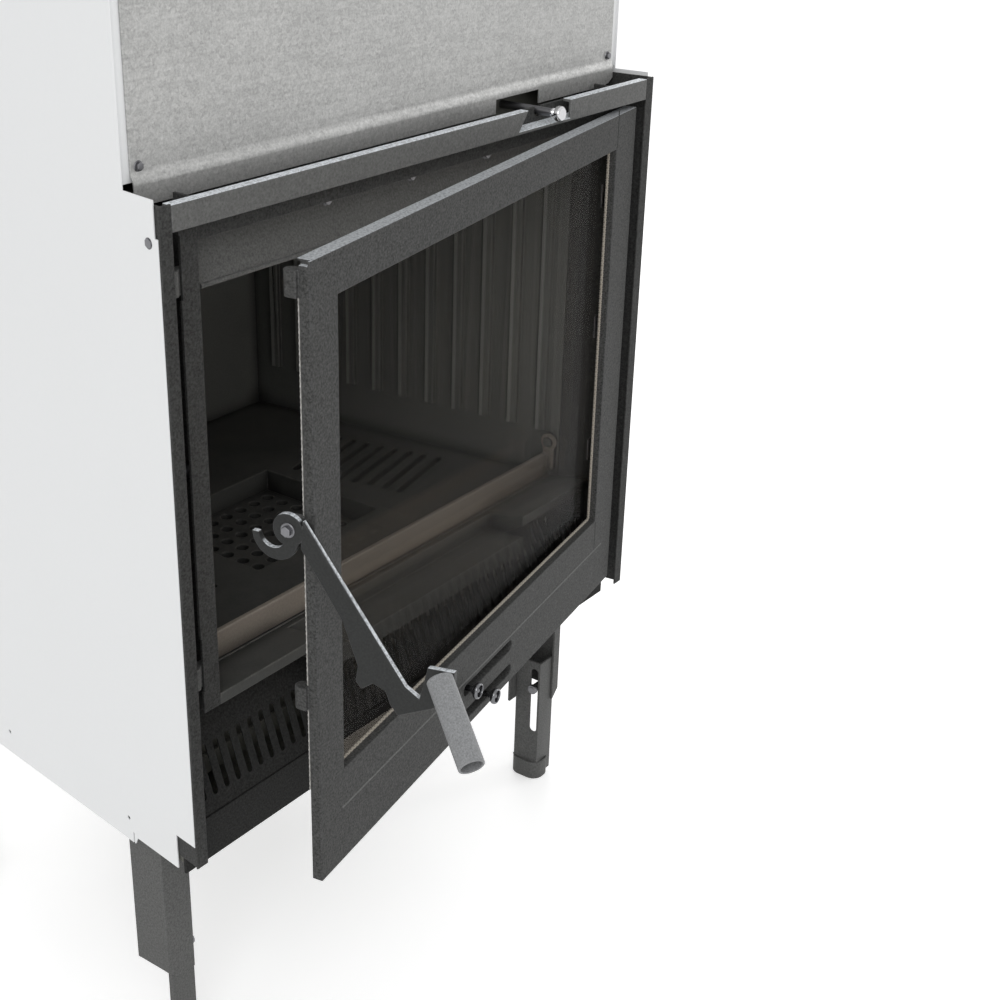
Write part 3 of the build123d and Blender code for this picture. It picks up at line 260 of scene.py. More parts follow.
def wear_and_highlight_group():
    """Paint worn off along edges, broken up by noise; a painted highlight on faces looking up above a height."""

    def fill(tree, given):
        edge_gain, level_from, level_gain = 7.0, 0.62, 8.0
        soft = tree.add("Bevel", {"Radius": given["Width"]}, samples=4).outputs[0]
        sharp = tree.add("NewGeometry").outputs["Normal"]
        facing = tree.vector("DOT_PRODUCT", soft, sharp)["Value"]
        edge = tree.math("MULTIPLY", tree.math("SUBTRACT", 1.0, facing), edge_gain, clamp=True)
        broken = tree.noise(object_point(tree), 70.0, 5.0, 0.7)
        patch = tree.ramp(broken, (0.36, 0.0), (0.62, 1.0))
        mask = tree.math("MULTIPLY", edge, patch)
        mask = tree.math("MULTIPLY", mask, given["Amount"], clamp=True)
        # Painted highlight: a pale, speckled mask on faces that look up, above Top From.
        level = tree.math("SUBTRACT", tree.axis(sharp, 2), level_from)
        up = tree.math("MULTIPLY", level, level_gain, clamp=True)
        speck = tree.noise(object_point(tree), 420.0, 3.0, 0.7)
        speck = tree.ramp(speck, (0.30, 0.25), (0.60, 1.0))
        height = tree.axis(object_point(tree), 2)
        above = tree.math("GREATER_THAN", height, given["Top From"])
        lying = tree.math("MULTIPLY", tree.math("MULTIPLY", up, speck), given["Top"], clamp=True)
        lying = tree.math("MULTIPLY", lying, above)
        tone = tree.mix(mask, given["Color"], given["Worn"])
        return {"Color": tree.mix(lying, tone, PAINTED_TOP_HIGHLIGHT)}

    return group(
        "Edge wear and top highlight",
        [
            ("Color", "Color", (0.1, 0.1, 0.1, 1)),
            ("Worn", "Color", (0.4, 0.4, 0.4, 1)),
            ("Width", "Float", 0.0012),
            ("Amount", "Float", 0.5),
            ("Top", "Float", 0.0),
            ("Top From", "Float", 0.0),
        ],
        [("Color", "Color")],
        fill,
    )


def spangle_group():
    """Zinc crystals, fine mottle and rolling streaks on galvanised sheet."""

    def fill(tree, given):
        warp = (0.012, 0.012, 0.012)
        point = object_point(tree)
        bent = tree.add("TexNoise", {"Vector": point, "Scale": 45.0, "Detail": 2.0})
        moved = tree.vector("MULTIPLY", bent.outputs["Color"], warp)[0]
        cells = tree.vector("ADD", point, moved)[0]
        crystal = tree.add("TexVoronoi", {"Vector": cells, "Scale": given["Scale"]})
        shade = tree.add("SeparateColor", {"Color": crystal.outputs["Color"]}).outputs[0]
        fine = tree.noise(point, 480.0, 3.0, 0.7)
        streak_at = tree.add("Mapping", {"Vector": point, "Scale": (3.0, 3.0, 90.0)}).outputs[0]
        streak = tree.noise(streak_at, 4.0, 4.0, 0.6)
        cloud = tree.noise(point, 9.0, 4.0)
        level = tree.swing(shade, given["Spread"])
        for value, amount in ((fine, 1.0), (streak, 0.30), (cloud, 0.25)):
            level = tree.math("ADD", level, tree.swing(value, amount))
        value = tree.math("ADD", level, 1.0)
        color = tree.add("HueSaturation", {"Value": value, "Color": given["Color"]})
        shine = tree.math("MULTIPLY", level, -0.25)
        rough = tree.math("ADD", given["Roughness"], shine, clamp=True)
        height = tree.math("ADD", tree.math("MULTIPLY", shade, 0.6), fine)
        return {"Color": color.outputs[0], "Roughness": rough, "Height": height}

    return group(
        "Zinc spangle",
        [
            ("Color", "Color", (0.4, 0.4, 0.4, 1)),
            ("Scale", "Float", 150.0),
            ("Spread", "Float", 0.3),
            ("Roughness", "Float", 0.45),
        ],
        [("Color", "Color"), ("Roughness", "Float"), ("Height", "Float")],
        fill,
    )


def ash_and_shade_group():
    """Brown-grey ash that lies in patches on faces that look up, and painted shade in the corners."""

    def fill(tree, given):
        on_walls, corner = 0.15, 0.028
        point = object_point(tree)
        up = tree.axis(tree.add("NewGeometry").outputs["Normal"], 2)
        patch = tree.noise(point, 13.0, 6.0, 0.65)
        up = tree.math("MAXIMUM", up, on_walls)
        lying = tree.math("MULTIPLY", up, tree.ramp(patch, (0.3, 0.0), (0.7, 1.0)))
        mask = tree.math("MULTIPLY", lying, given["Amount"], clamp=True)
        # Painted shade: darker in corners, from ambient occlusion.
        open_air = tree.add("AmbientOcclusion", {"Distance": corner}, samples=8).outputs["AO"]
        dark = tree.ramp(open_air, (0.35, 0.10), (0.80, 1.0))
        tone = tree.mix(mask, given["Color"], given["Ash"])
        return {"Color": tree.mix(1.0, tone, dark, "MULTIPLY")}

    return group(
        "Ash and corner shade",
        [
            ("Color", "Color", (0.1, 0.1, 0.1, 1)),
            ("Ash", "Color", (0.3, 0.28, 0.25, 1)),
            ("Amount", "Float", 0.4),
        ],
        [("Color", "Color")],
        fill,
    )


def braid_group():
    """Twisted strands round a glass fibre rope, from its own UV map: U along, V around."""

    def fill(tree, given):
        uv = tree.add("UVMap", uv_map="rope").outputs["UV"]
        parts = tree.add("SeparateXYZ", {0: uv})
        lean = tree.math("ADD", parts.outputs[0], parts.outputs[1])
        back = tree.math("SUBTRACT", parts.outputs[0], parts.outputs[1])
        one = tree.math("SINE", tree.math("MULTIPLY", lean, 2 * pi))
        two = tree.math("SINE", tree.math("MULTIPLY", back, 2 * pi))
        weave = tree.math("MAXIMUM", one, two)
        height = tree.math("ADD", tree.math("MULTIPLY", weave, 0.5), 0.5)
        fuzz = tree.noise(object_point(tree), 2500.0, 2.0)
        strand, fuzz = tree.math("MULTIPLY", height, 0.55), tree.math("MULTIPLY", fuzz, 0.75)
        lit = tree.math("MINIMUM", tree.math("ADD", strand, fuzz), 1.0)
        color = tree.mix(lit, given["Shade"], given["Color"])
        return {"Color": color, "Height": height}

    return group(
        "Rope braid",
        [("Color", "Color", (0.7, 0.7, 0.7, 1)), ("Shade", "Color", (0.3, 0.3, 0.3, 1))],
        [("Color", "Color"), ("Height", "Float")],
        fill,
    )


# ------------------------------------------------------------------ finishes


def rgba(color):
    return (*color, 1.0)


def toned(color, factor):
    return [part * factor for part in color]


def start(name):
    """Empties a material but for a Principled shader; returns its tree and the shader."""
    material = bpy.data.materials.get(name) or bpy.data.materials.new(name)
    material.use_nodes = True
    material.node_tree.nodes.clear()
    tree = Tree(material.node_tree)
    shader = tree.add("BsdfPrincipled")
    output = tree.add("OutputMaterial")
    tree.links.new(shader.outputs[0], output.inputs[0])
    return tree, shader


def bump(tree, shader, height, strength, distance):
    node = tree.add("Bump", {"Strength": strength, "Distance": distance, "Height": height})
    tree.links.new(node.outputs[0], shader.inputs["Normal"])


def grained(tree, color, scale, spread, cloud, roughness):
    """The surface grain with its settings; gives its outputs."""
    return use_group(
        tree, grain_group(), Color=rgba(color), Scale=scale, Spread=spread, Cloud=cloud,
        Roughness=roughness,
    )


def painted(name, color, roughness, spread=1.9, scale=520.0, cloud=0.14, wear=0.45,
            worn=WORN_STEEL, depth=0.00006, coat=0.0, specular=0.5, top=0.0, highlight_from=0.0):
    """Stove paint: fine grain, cloudy sheen, worn edges and, where top is given, a painted highlight on top faces.
    """
    tree, shader = start(name)
    grain = grained(tree, color, scale, spread, cloud, roughness)
    tone = grain["Color"]
    if wear:
        tone = use_group(
            tree, wear_and_highlight_group(), Color=tone, Worn=rgba(worn), Amount=wear, Top=top,
            Top_From=highlight_from,
        )["Color"]
    tree.links.new(tone, shader.inputs["Base Color"])
    tree.links.new(grain["Roughness"], shader.inputs["Roughness"])
    shader.inputs["Specular IOR Level"].default_value = specular
    shader.inputs["Coat Weight"].default_value = coat
    shader.inputs["Coat Roughness"].default_value = 0.15
    bump(tree, shader, grain["Height"], strength=0.5, distance=depth)


def painted_rib_light(tree, color, first, pitch, foot):
    """Above the ribs' foot: painted shadow in the corner behind each rib, a painted highlight strip on its face.
    """
    parts = tree.add("SeparateXYZ", {0: object_point(tree)})
    along = tree.math("SUBTRACT", parts.outputs[1], first)
    run = tree.math("FRACT", tree.math("DIVIDE", along, pitch))
    plain, painted_highlight, painted_shadow = 0.42, 0.85, 0.08
    line = tree.ramp(
        run, (0.14, plain), (0.20, painted_highlight), (0.29, painted_highlight),
        (0.33, painted_shadow), (0.39, painted_shadow), (0.47, plain),
    )
    above = tree.math("GREATER_THAN", parts.outputs[2], foot)
    shade = tree.mix(above, (plain, plain, plain, 1), line)
    return tree.mix(1.0, color, shade, "MULTIPLY")


def cast(name, color, ash=(0.20, 0.188, 0.17), amount=0.4, ribs=None):
    """Sand-cast iron with ash lying on it and painted shade in its corners; ribs gives their first edge, pitch and
    foot.
    """
    tree, shader = start(name)
    grain = grained(tree, color, scale=420.0, spread=0.5, cloud=0.35, roughness=0.72)
    tone = painted_rib_light(tree, grain["Color"], *ribs) if ribs else grain["Color"]
    ashy_and_shaded = use_group(tree, ash_and_shade_group(), Color=tone, Ash=rgba(ash), Amount=amount)["Color"]
    tone = use_group(
        tree, wear_and_highlight_group(), Color=ashy_and_shaded, Worn=(0.30, 0.28, 0.26, 1), Width=0.002, Amount=0.5
    )["Color"]
    tree.links.new(tone, shader.inputs["Base Color"])
    tree.links.new(grain["Roughness"], shader.inputs["Roughness"])
    bump(tree, shader, grain["Height"], strength=0.6, distance=0.00018)


def zinc(name, color, scale=300.0, spread=0.2, roughness=0.42, metallic=0.5):
    """Galvanised sheet."""
    tree, shader = start(name)
    made = use_group(
        tree, spangle_group(), Color=rgba(color), Scale=scale, Spread=spread, Roughness=roughness
    )
    tree.links.new(made["Color"], shader.inputs["Base Color"])
    tree.links.new(made["Roughness"], shader.inputs["Roughness"])
    shader.inputs["Metallic"].default_value = metallic
    bump(tree, shader, made["Height"], strength=0.25, distance=0.00008)


def metal(name, color, roughness, spread=0.2):
    """Plated or drawn steel."""
    tree, shader = start(name)
    grain = grained(tree, color, 500.0, spread, cloud=0.2, roughness=roughness)
    tree.links.new(grain["Color"], shader.inputs["Base Color"])
    tree.links.new(grain["Roughness"], shader.inputs["Roughness"])
    shader.inputs["Metallic"].default_value = 1.0
    bump(tree, shader, grain["Height"], strength=0.15, distance=0.00002)


def tinted_glass(name, color, dark_below, dark_depth, clear=0.22, film=0.25):
    """Fire glass: its tint, faint smears, and darker brown towards the bottom, from dark_below down.

    clear is the glass's own alpha and film is what the darkening adds to it.
    """
    tree, shader = start(name)
    smear = tree.noise(object_point(tree), 6.0, 4.0)
    haze = tree.mix(smear, rgba(toned(color, 0.93)), rgba(color))
    height = tree.axis(object_point(tree), 2)
    low = tree.math("DIVIDE", tree.math("SUBTRACT", dark_below, height), dark_depth, clamp=True)
    brown = tree.mix(low, haze, rgba(toned(color, 0.2)))
    tree.links.new(brown, shader.inputs["Base Color"])
    alpha = tree.math("ADD", tree.math("MULTIPLY", low, film), clear)
    tree.links.new(alpha, shader.inputs["Alpha"])
    shader.inputs["Roughness"].default_value = 0.0
    shader.inputs["Transmission Weight"].default_value = 1.0
    shader.inputs["IOR"].default_value = 1.05


def rope(name, color, shade):
    """Glass fibre braid."""
    tree, shader = start(name)
    made = use_group(tree, braid_group(), Color=rgba(color), Shade=rgba(shade))
    tree.links.new(made["Color"], shader.inputs["Base Color"])
    shader.inputs["Roughness"].default_value = 0.85
    shader.inputs["Sheen Weight"].default_value = 0.25
    bump(tree, shader, made["Height"], strength=0.8, distance=0.0004)


# ------------------------------------------------------------------ mesh helpers

# Angles in degrees: faces meeting at less look round, edges sharper than this are rolled off,
# and faces this near to level with each other are one.
SMOOTH_BELOW, ROUND_ABOVE, FLAT_WITHIN = 35.0, 40.0, 0.3
WELD = 1e-6
TURNED_STEPS = 32


def finish_piece(name, mesh, body, slot_name, nodes=(), finish=None):
    """Makes the object of a mesh and hangs it on its body; finish is a material's name."""
    piece = bpy.data.objects.new(name, mesh)
    bpy.context.collection.objects.link(piece)
    mesh.shade_smooth()
    mesh.set_sharp_from_angle(angle=radians(SMOOTH_BELOW))
    mesh.materials.clear()
    mesh.materials.append(bpy.data.materials[finish or slot_name])
    if nodes:
        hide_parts(*nodes)
    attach(piece, body)
    return piece


def to_mesh(name, bm):
    mesh = bpy.data.meshes.new(name)
    bm.to_mesh(mesh)
    bm.free()
    return mesh


def round_edges(piece, width, segments):
    """Rolls off the sharp edges of a piece."""
    modifier = piece.modifiers.new("edges", "BEVEL")
    modifier.width = width
    modifier.segments = segments
    modifier.limit_method = "ANGLE"
    modifier.angle_limit = radians(ROUND_ABOVE)
    modifier.use_clamp_overlap = False
    modifier.harden_normals = True


def merged(node):
    """A welded copy of a CAD node's mesh, its flat faces joined."""
    bm = bmesh.new()
    bm.from_mesh(frame["nodes"][node].data)
    bmesh.ops.remove_doubles(bm, verts=bm.verts, dist=WELD)
    bmesh.ops.dissolve_limit(
        bm, angle_limit=radians(FLAT_WITHIN), verts=bm.verts, edges=bm.edges, delimit={"NORMAL"}
    )
    return bm


def soften(node, width, segments=2, shape=None, finish=None):
    """Replaces a CAD node by a welded copy with rounded edges; shape may work the copy first."""
    bm = merged(node)
    if shape:
        shape(bm)
    piece = finish_piece(
        node + "_finished", to_mesh(node, bm), BODY_OF[node], SLOT_OF[node], (node,), finish
    )
    round_edges(piece, width, segments)


def rounded_path(corners, radius, step, closed=False, bends=6):
    """Points a step apart on a path through corners, which are turned at a radius in bends."""
    count = len(corners)
    points = []
    for index, corner in enumerate(corners):
        if not closed and index in (0, count - 1):
            points.append(corner)
            continue
        a = (corners[index - 1] - corner).normalized()
        b = (corners[(index + 1) % count] - corner).normalized()
        start_at, end_at = corner + a * radius, corner + b * radius
        for k in range(bends + 1):
            t = k / bends
            points.append(start_at.lerp(corner, t).lerp(corner.lerp(end_at, t), t))
    even = []
    for index in range(len(points) if closed else len(points) - 1):
        a, b = points[index], points[(index + 1) % len(points)]
        parts = max(1, round((b - a).length / step))
        even.extend(a.lerp(b, k / parts) for k in range(parts))
    return even if closed else even + [points[-1]]


def tube(points, radius, sides, flat, squash=1.0, closed=False, pitch=None, ripple=0.0):
    """A tube swept along points: circles bridged in turn; UV map "rope" counts its strands.

    flat is the way in which squash presses it; ripple swells it twice in a pitch of its braid.
    """
    bm = bmesh.new()
    uv = bm.loops.layers.uv.new("rope")
    count = len(points)
    ends = [0.0]
    for index in range(count if closed else count - 1):
        ends.append(ends[-1] + (points[(index + 1) % count] - points[index]).length)
    pitch = pitch or 6 * radius
    strands, around = round(ends[-1] / pitch), 2
    rings = []
    for index, point in enumerate(points):
        before = points[index - 1] if index or closed else point
        after = points[(index + 1) % count] if index < count - 1 or closed else point
        way = (after - before).normalized()
        side = way.cross(flat).normalized()
        top = side.cross(way).normalized()
        swell = radius * (1 + ripple * sin(4 * pi * ends[index] / ends[-1] * strands))
        place = Matrix.Translation(point) @ Matrix((
            (side.x, top.x, way.x), (side.y, top.y, way.y), (side.z, top.z, way.z),
        )).to_4x4() @ Matrix.Diagonal((swell, swell * squash, swell, 1))
        made = bmesh.ops.create_circle(bm, cap_ends=False, segments=sides, radius=1.0, matrix=place)
        rings.append(made["verts"])
    for index in range(len(ends) - 1):
        a, b = rings[index], rings[(index + 1) % count]
        for k in range(sides):
            face = bm.faces.new((a[k], a[(k + 1) % sides], b[(k + 1) % sides], b[k]))
            along = (ends[index], ends[index], ends[index + 1], ends[index + 1])
            for loop, run, turn in zip(face.loops, along, (k, k + 1, k + 1, k)):
                loop[uv].uv = (run / ends[-1] * strands, turn / sides * around)
    if not closed:
        for ring in (rings[0], rings[-1]):
            bm.faces.new(ring)
    bmesh.ops.recalc_face_normals(bm, faces=bm.faces)
    return bm


def turned(profile, place):
    """A turned piece: its (radius, height) profile spun once about the Z axis of place."""
    bm = bmesh.new()
    verts = [bm.verts.new((r * MM, 0, h * MM)) for r, h in profile]
    edges = [bm.edges.new(pair) for pair in zip(verts, verts[1:])]
    bmesh.ops.spin(
        bm, geom=verts + edges, axis=(0, 0, 1), cent=(0, 0, 0), steps=TURNED_STEPS, angle=2 * pi,
        use_merge=True,
    )
    bmesh.ops.remove_doubles(bm, verts=bm.verts, dist=1e-7)
    bmesh.ops.recalc_face_normals(bm, faces=bm.faces)
    bmesh.ops.transform(bm, matrix=place, verts=bm.verts)
    return bm


def pointing(place, x, y, z, way):
    """A matrix at a point of place, its Z axis along way (in place's axes)."""
    turn = Vector(way).normalized().to_track_quat("Z", "Y").to_matrix().to_4x4()
    return place @ Matrix.Translation((x * MM, y * MM, z * MM)) @ turn


def hex_screw(place, radius, head, washer):
    """A hexagon head with a rolled-off top on a pressed washer, standing on place's XY plane.

    inset, crown and taper are shares of the head's radius, its height and the washer's radius.
    """
    thick, lift, roll = 0.8, 0.6, 0.15
    inset, crown, taper = 0.16, 0.12, 0.9
    bm = bmesh.new()
    bmesh.ops.create_cone(
        bm, cap_ends=True, segments=6, radius1=radius * MM, radius2=radius * MM, depth=head * MM,
        matrix=Matrix.Translation((0, 0, (head / 2 + lift) * MM)),
    )
    top = [face for face in bm.faces if face.normal.z > 0.9]
    bmesh.ops.inset_region(bm, faces=top, thickness=radius * inset * MM, depth=0.0)
    for face in top:
        for vert in face.verts:
            vert.co.z += head * crown * MM
    bmesh.ops.bevel(
        bm, geom=list(bm.edges), offset=roll * MM, offset_type="OFFSET", segments=2, profile=0.5,
        affect="EDGES", material=-1,
    )
    bmesh.ops.create_cone(
        bm, cap_ends=True, segments=28, radius1=washer * MM, radius2=washer * taper * MM,
        depth=thick * MM, matrix=Matrix.Translation((0, 0, thick / 2 * MM)),
    )
    bmesh.ops.transform(bm, matrix=place, verts=bm.verts)
    return bm


def join(parts):
    """One bmesh of several."""
    whole = bmesh.new()
    for part in parts:
        mesh = to_mesh("part", part)
        whole.from_mesh(mesh)
        bpy.data.meshes.remove(mesh)
    return whole


# ------------------------------------------------------------------ settings


def colour(name, description, value):
    return bpy.props.FloatVectorProperty(
        name=name, description=description, subtype="COLOR", size=3, min=0.0, max=1.0,
        default=value,
    )


def length(name, description, value):
    return bpy.props.FloatProperty(
        name=name, description=description, subtype="DISTANCE", unit="LENGTH", min=0.0,
        default=value,
    )


class InsertColours(bpy.types.PropertyGroup):
    """Colours of the insert's finishes."""

    enamel: colour("Side panels", "White paint of the side panels", (0.785, 0.795, 0.80))
    sheet_zinc: colour("Galvanised sheet", "Zinc of the hood", (0.42, 0.42, 0.412))
    paint: colour("Stove paint", "Anthracite of the frame and the door", (0.112, 0.1125, 0.110))
    iron: colour("Cast iron", "Lining and hearth", (0.105, 0.108, 0.102))
    primer: colour("Primer", "Inner and lower sheet", (0.11, 0.11, 0.095))
    tint: colour("Glass", "Tint of the fire glass", (0.34, 0.27, 0.20))
    fibre: colour("Rope", "Glass fibre ropes", (0.68, 0.66, 0.62))
    lever: colour("Lever", "Black paint of the hooked lever", (0.030, 0.031, 0.0305))
    grip: colour("Grip", "Sleeve of the handle", (0.235, 0.24, 0.245))


class InsertSizes(bpy.types.PropertyGroup):
    """Sizes of the insert's small details."""

    edge: length("Sheet edge", "Rounding of sheet edges", 0.0006)
    cast_edge: length("Cast edge", "Rounding of cast pieces", 0.0016)
    fold: length("Hood fold", "Radius of the fold in the hood", 0.0025)
    bead: length("Border bead", "Width of the line pressed into the door", 0.0022)


class InsertPiece:
    """What every operator here shares."""

    bl_options = {"REGISTER", "UNDO"}

    @staticmethod
    def sizes():
        return bpy.context.scene.insert_sizes


class OBJECT_OT_insert_finishes(InsertPiece, bpy.types.Operator):
    """Make the finishes and put them on every CAD node"""

    bl_idname = "object.insert_finishes"
    bl_label = "Finishes"

    def execute(self, context):
        tone = context.scene.insert_colours
        paint, iron = tone.paint, tone.iron
        painted("white_enamel", tone.enamel, 0.34, spread=0.02, scale=260.0, cloud=0.02, wear=0.0,
                depth=0.00002, coat=0.15)
        zinc("galvanised", tone.sheet_zinc)
        painted("anthracite", paint, 0.5, spread=1.3, specular=0.08, wear=0.35,
                worn=(0.24, 0.24, 0.24))
        # A lit copy of the stove paint for the top rail: painted light, with a painted highlight on its top faces.
        painted("anthracite_lit_rail", toned(paint, 1.15), 0.5, spread=1.1, specular=0.08, wear=0.6,
                worn=(0.40, 0.41, 0.42), top=1.0)
        # A shaded copy of the stove paint for the door: painted shade, with a painted highlight on its top flange.
        painted("anthracite_shaded_door", toned(paint, 0.56), 0.5, spread=2.2, specular=0.04, wear=0.5,
                worn=(0.22, 0.22, 0.23), top=0.5, highlight_from=DOOR_HIGHLIGHT_FROM)
        # Darker copies of the stove paint: painted shade for recessed and shadowed parts.
        painted("anthracite_dim", toned(paint, 0.45), 0.55, specular=0.05, worn=(0.16, 0.16, 0.16))
        painted("anthracite_shaded", toned(paint, 0.26), 0.6, specular=0.03,
                worn=(0.06, 0.06, 0.06))
        # The lever's own black, with a painted highlight on its upper edge.
        painted("lever_black", tone.lever, 0.30, spread=0.8, specular=0.12, wear=0.25, top=0.85)
        cast("cast_iron", iron)
        # Painted shade: the sill, hearth and grate in the mouth take iron at less than half its lightness.
        cast("shaded_iron", toned(iron, 0.45), ash=(0.11, 0.105, 0.098))
        # Side walls: lighter iron, with painted shadow behind each rib and a painted highlight on its face.
        cast("ribbed_iron", toned(iron, 2.3), ash=(0.14, 0.13, 0.12), amount=0.15,
             ribs=(FIRST_RIB, RIB_PITCH, RIB_FOOT))
        cast("ashy_iron", (0.19, 0.167, 0.142), ash=(0.27, 0.243, 0.21), amount=0.5)
        painted("grey_primer", tone.primer, 0.6, spread=0.12, scale=600.0, wear=0.25,
                worn=(0.3, 0.3, 0.28))
        metal("bright_chrome", (0.60, 0.60, 0.61), 0.08, spread=0.03)
        metal("dark_steel", (0.20, 0.20, 0.21), 0.42)
        metal("dull_chrome", (0.17, 0.172, 0.18), 0.22, spread=0.3)
        tinted_glass("smoked_glass", tone.tint, GLASS_DARK_BELOW, GLASS_DARK_DEPTH)
        rope("glass_rope", tone.fibre, toned(tone.fibre, 0.30))
        rope("charred_rope", (0.40, 0.36, 0.30), (0.05, 0.045, 0.04))
        painted("grip_coating", tone.grip, 0.46, spread=1.2, scale=700.0, cloud=0.05, wear=0.2,
                specular=0.25)
        for name, node in frame["nodes"].items():
            node.data.materials.clear()
            node.data.materials.append(bpy.data.materials[SLOT_OF[name]])
        return {"FINISHED"}


class OBJECT_OT_insert_casing(InsertPiece, bpy.types.Operator):
    """Build the white side panels, the hood and their screws"""

    bl_idname = "object.insert_casing"
    bl_label = "Casing"

    def execute(self, context):
        edge, fold = self.sizes().edge, self.sizes().fold
        for node in ("jacket_left", "jacket_right", "jacket_back", "hood_top"):
            soften(node, edge * 0.7)
        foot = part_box("hood_front")[0]

        def roll_fold(bm):
            """Rounds the level lines along which the hood's front is folded."""
            lines = [
                line for line in bm.edges
                if abs(line.verts[0].co.x - line.verts[1].co.x) > FOLD_LINE
                and all(foot.z + FOLD_LOW < v.co.z < foot.z + FOLD_HIGH for v in line.verts)
            ]
            bmesh.ops.bevel(
                bm, geom=lines, offset=fold, offset_type="OFFSET", segments=5, profile=0.5,
                affect="EDGES", material=-1, clamp_overlap=True,
            )

        soften("hood_front", edge * 0.5, shape=roll_fold)
        for node in ("air_spigots", "flue_collar", "base_tray", "cross_members", "smoke_dome"):
            soften(node, edge)
        panel_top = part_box("jacket_left")[1].z / MM - POST_LOW.z / MM
        lean = radians(SIDE_TAPER)
        out = HALF_WIDTH / MM - (PANEL_SCREW_Y - PANEL_FRONT_Y) * tan(lean) - PANEL_SCREW_SINK
        screws = []
        for side in (-1, 1):
            for z in (HOOD_SCREW_LOW, panel_top - HOOD_SCREW_DROP):
                place = pointing(INSERT, side * HOOD_SCREW_X, HOOD_SCREW_Y, z, (0, -1, 0))
                screws.append(hex_screw(place, radius=3.4, head=2.2, washer=4.4))
            way = (side * cos(lean), sin(lean), 0)
            place = pointing(INSERT, side * out, PANEL_SCREW_Y, PANEL_SCREW_Z, way)
            screws.append(hex_screw(place, radius=4.2, head=0.9, washer=5.0))
        finish_piece("casing_screws_finished", to_mesh("casing_screws", join(screws)), "insert",
                     "dark_steel", ("casing_screws",))
        return {"FINISHED"}


class OBJECT_OT_insert_front(InsertPiece, bpy.types.Operator):
    """Build the front frame, the vents and the mouth's sealing faces"""

    bl_idname = "object.insert_front"
    bl_label = "Front frame"

    def execute(self, context):
        edge = self.sizes().edge
        for node in ("air_deflector", "hinge_lugs", "catch_pin"):
            soften(node, edge)
        for node in ("frame_post_left", "frame_post_right", "seal_strip_left", "seal_strip_right",
                     "seal_strip_top"):
            soften(node, edge, finish="anthracite_dim")
        soften("frame_bottom_rail", edge, finish="anthracite_shaded")
        soften("frame_top_rail", edge * 1.6, segments=3, finish="anthracite_lit_rail")
        soften("vent_grille", edge * 0.8, finish="anthracite_shaded")
        bolts = [
            hex_screw(pointing(INSERT, *place, (0, -1, 0)), radius=4.0, head=3.0, washer=5.0)
            for place in DEFLECTOR_SCREWS
        ]
        finish_piece("deflector_bolts", to_mesh("deflector_bolts", join(bolts)), "insert",
                     "dark_steel")
        return {"FINISHED"}


class OBJECT_OT_insert_firebox(InsertPiece, bpy.types.Operator):
    """Build the cast lining, the hearth and what lies in it"""

    bl_idname = "object.insert_firebox"
    bl_label = "Firebox"

    def execute(self, context):
        cast_edge = self.sizes().cast_edge
        soften("log_retainer", cast_edge, segments=3, finish="ashy_iron")
        for node in ("side_wall_left", "side_wall_right"):
            soften(node, cast_edge, segments=3, finish="ribbed_iron")
        for node in ("back_wall", "smoke_baffle"):
            soften(node, cast_edge, segments=3)
        # Painted shade: the mouth's sill, hearth and grate take the darkened iron.
        for node in ("sill", "hearth_floor", "grate"):
            soften(node, cast_edge * 0.6, finish="shaded_iron")
        for node in ("firebox_base", "ash_pan", "firebox_shell", "throat_plate", "damper_flap"):
            soften(node, self.sizes().edge)
        return {"FINISHED"}


class OBJECT_OT_insert_door(InsertPiece, bpy.types.Operator):
    """Build the door with its glass, ropes and handle bracket"""

    bl_idname = "object.insert_door"
    bl_label = "Door"

    def execute(self, context):
        edge = self.sizes().edge
        soften("door_frame", edge * 1.5, segments=3, finish="anthracite_shaded_door")
        soften("door_glass", edge * 0.6)
        soften("slide_guides", edge * 0.5, finish="anthracite_dim")
        for node in ("glass_clips", "handle_bracket"):
            soften(node, edge * 0.5)
        normal = DOOR.to_3x3() @ Vector((0, 1, 0))
        path = rounded_path(self.corners(DOOR_ROPE, DOOR_ROPE_Y), radius=0.012, step=0.0012)
        piece = tube(path, radius=0.0058, sides=12, flat=normal, squash=0.33, pitch=0.0085,
                     ripple=0.05)
        finish_piece("door_rope", to_mesh("door_rope", piece), "door", "glass_rope",
                     ("door_gasket",))
        path = rounded_path(self.corners(GLASS_ROPE, GLASS_ROPE_Y), radius=0.003, step=0.0007,
                            closed=True)
        piece = tube(path, radius=0.0014, sides=9, flat=normal, closed=True, pitch=0.0052,
                     ripple=0.2)
        finish_piece("glass_rope", to_mesh("glass_rope", piece), "door", "glass_rope",
                     ("glass_gasket",), "charred_rope")
        bead = self.sizes().bead
        line = [at(DOOR, x, DOOR_FACE, BORDER_Z) for x in (BORDER_LEFT, BORDER_RIGHT)]
        piece = tube(line, bead / 2, sides=8, flat=normal, squash=0.5)
        finish_piece("door_border", to_mesh("door_border", piece), "door", "anthracite")
        seams = []
        for ends in SEAM_ENDS:
            line = [at(DOOR, SEAM_X, SEAM_Y, z) for z in ends]
            seams.append(tube(line, bead * 0.4, sides=8, flat=normal, squash=0.5))
        finish_piece("door_seam", to_mesh("door_seam", join(seams)), "door", "anthracite",
                     finish="anthracite_shaded")
        return {"FINISHED"}

    @staticmethod
    def corners(sides, y):
        """A rope's corners in turn, from its lower left end up, over and down."""
        left, right, low, high = sides
        turns = ((left, low), (left, high), (right, high), (right, low))
        return [at(DOOR, x, y, z) for x, z in turns]


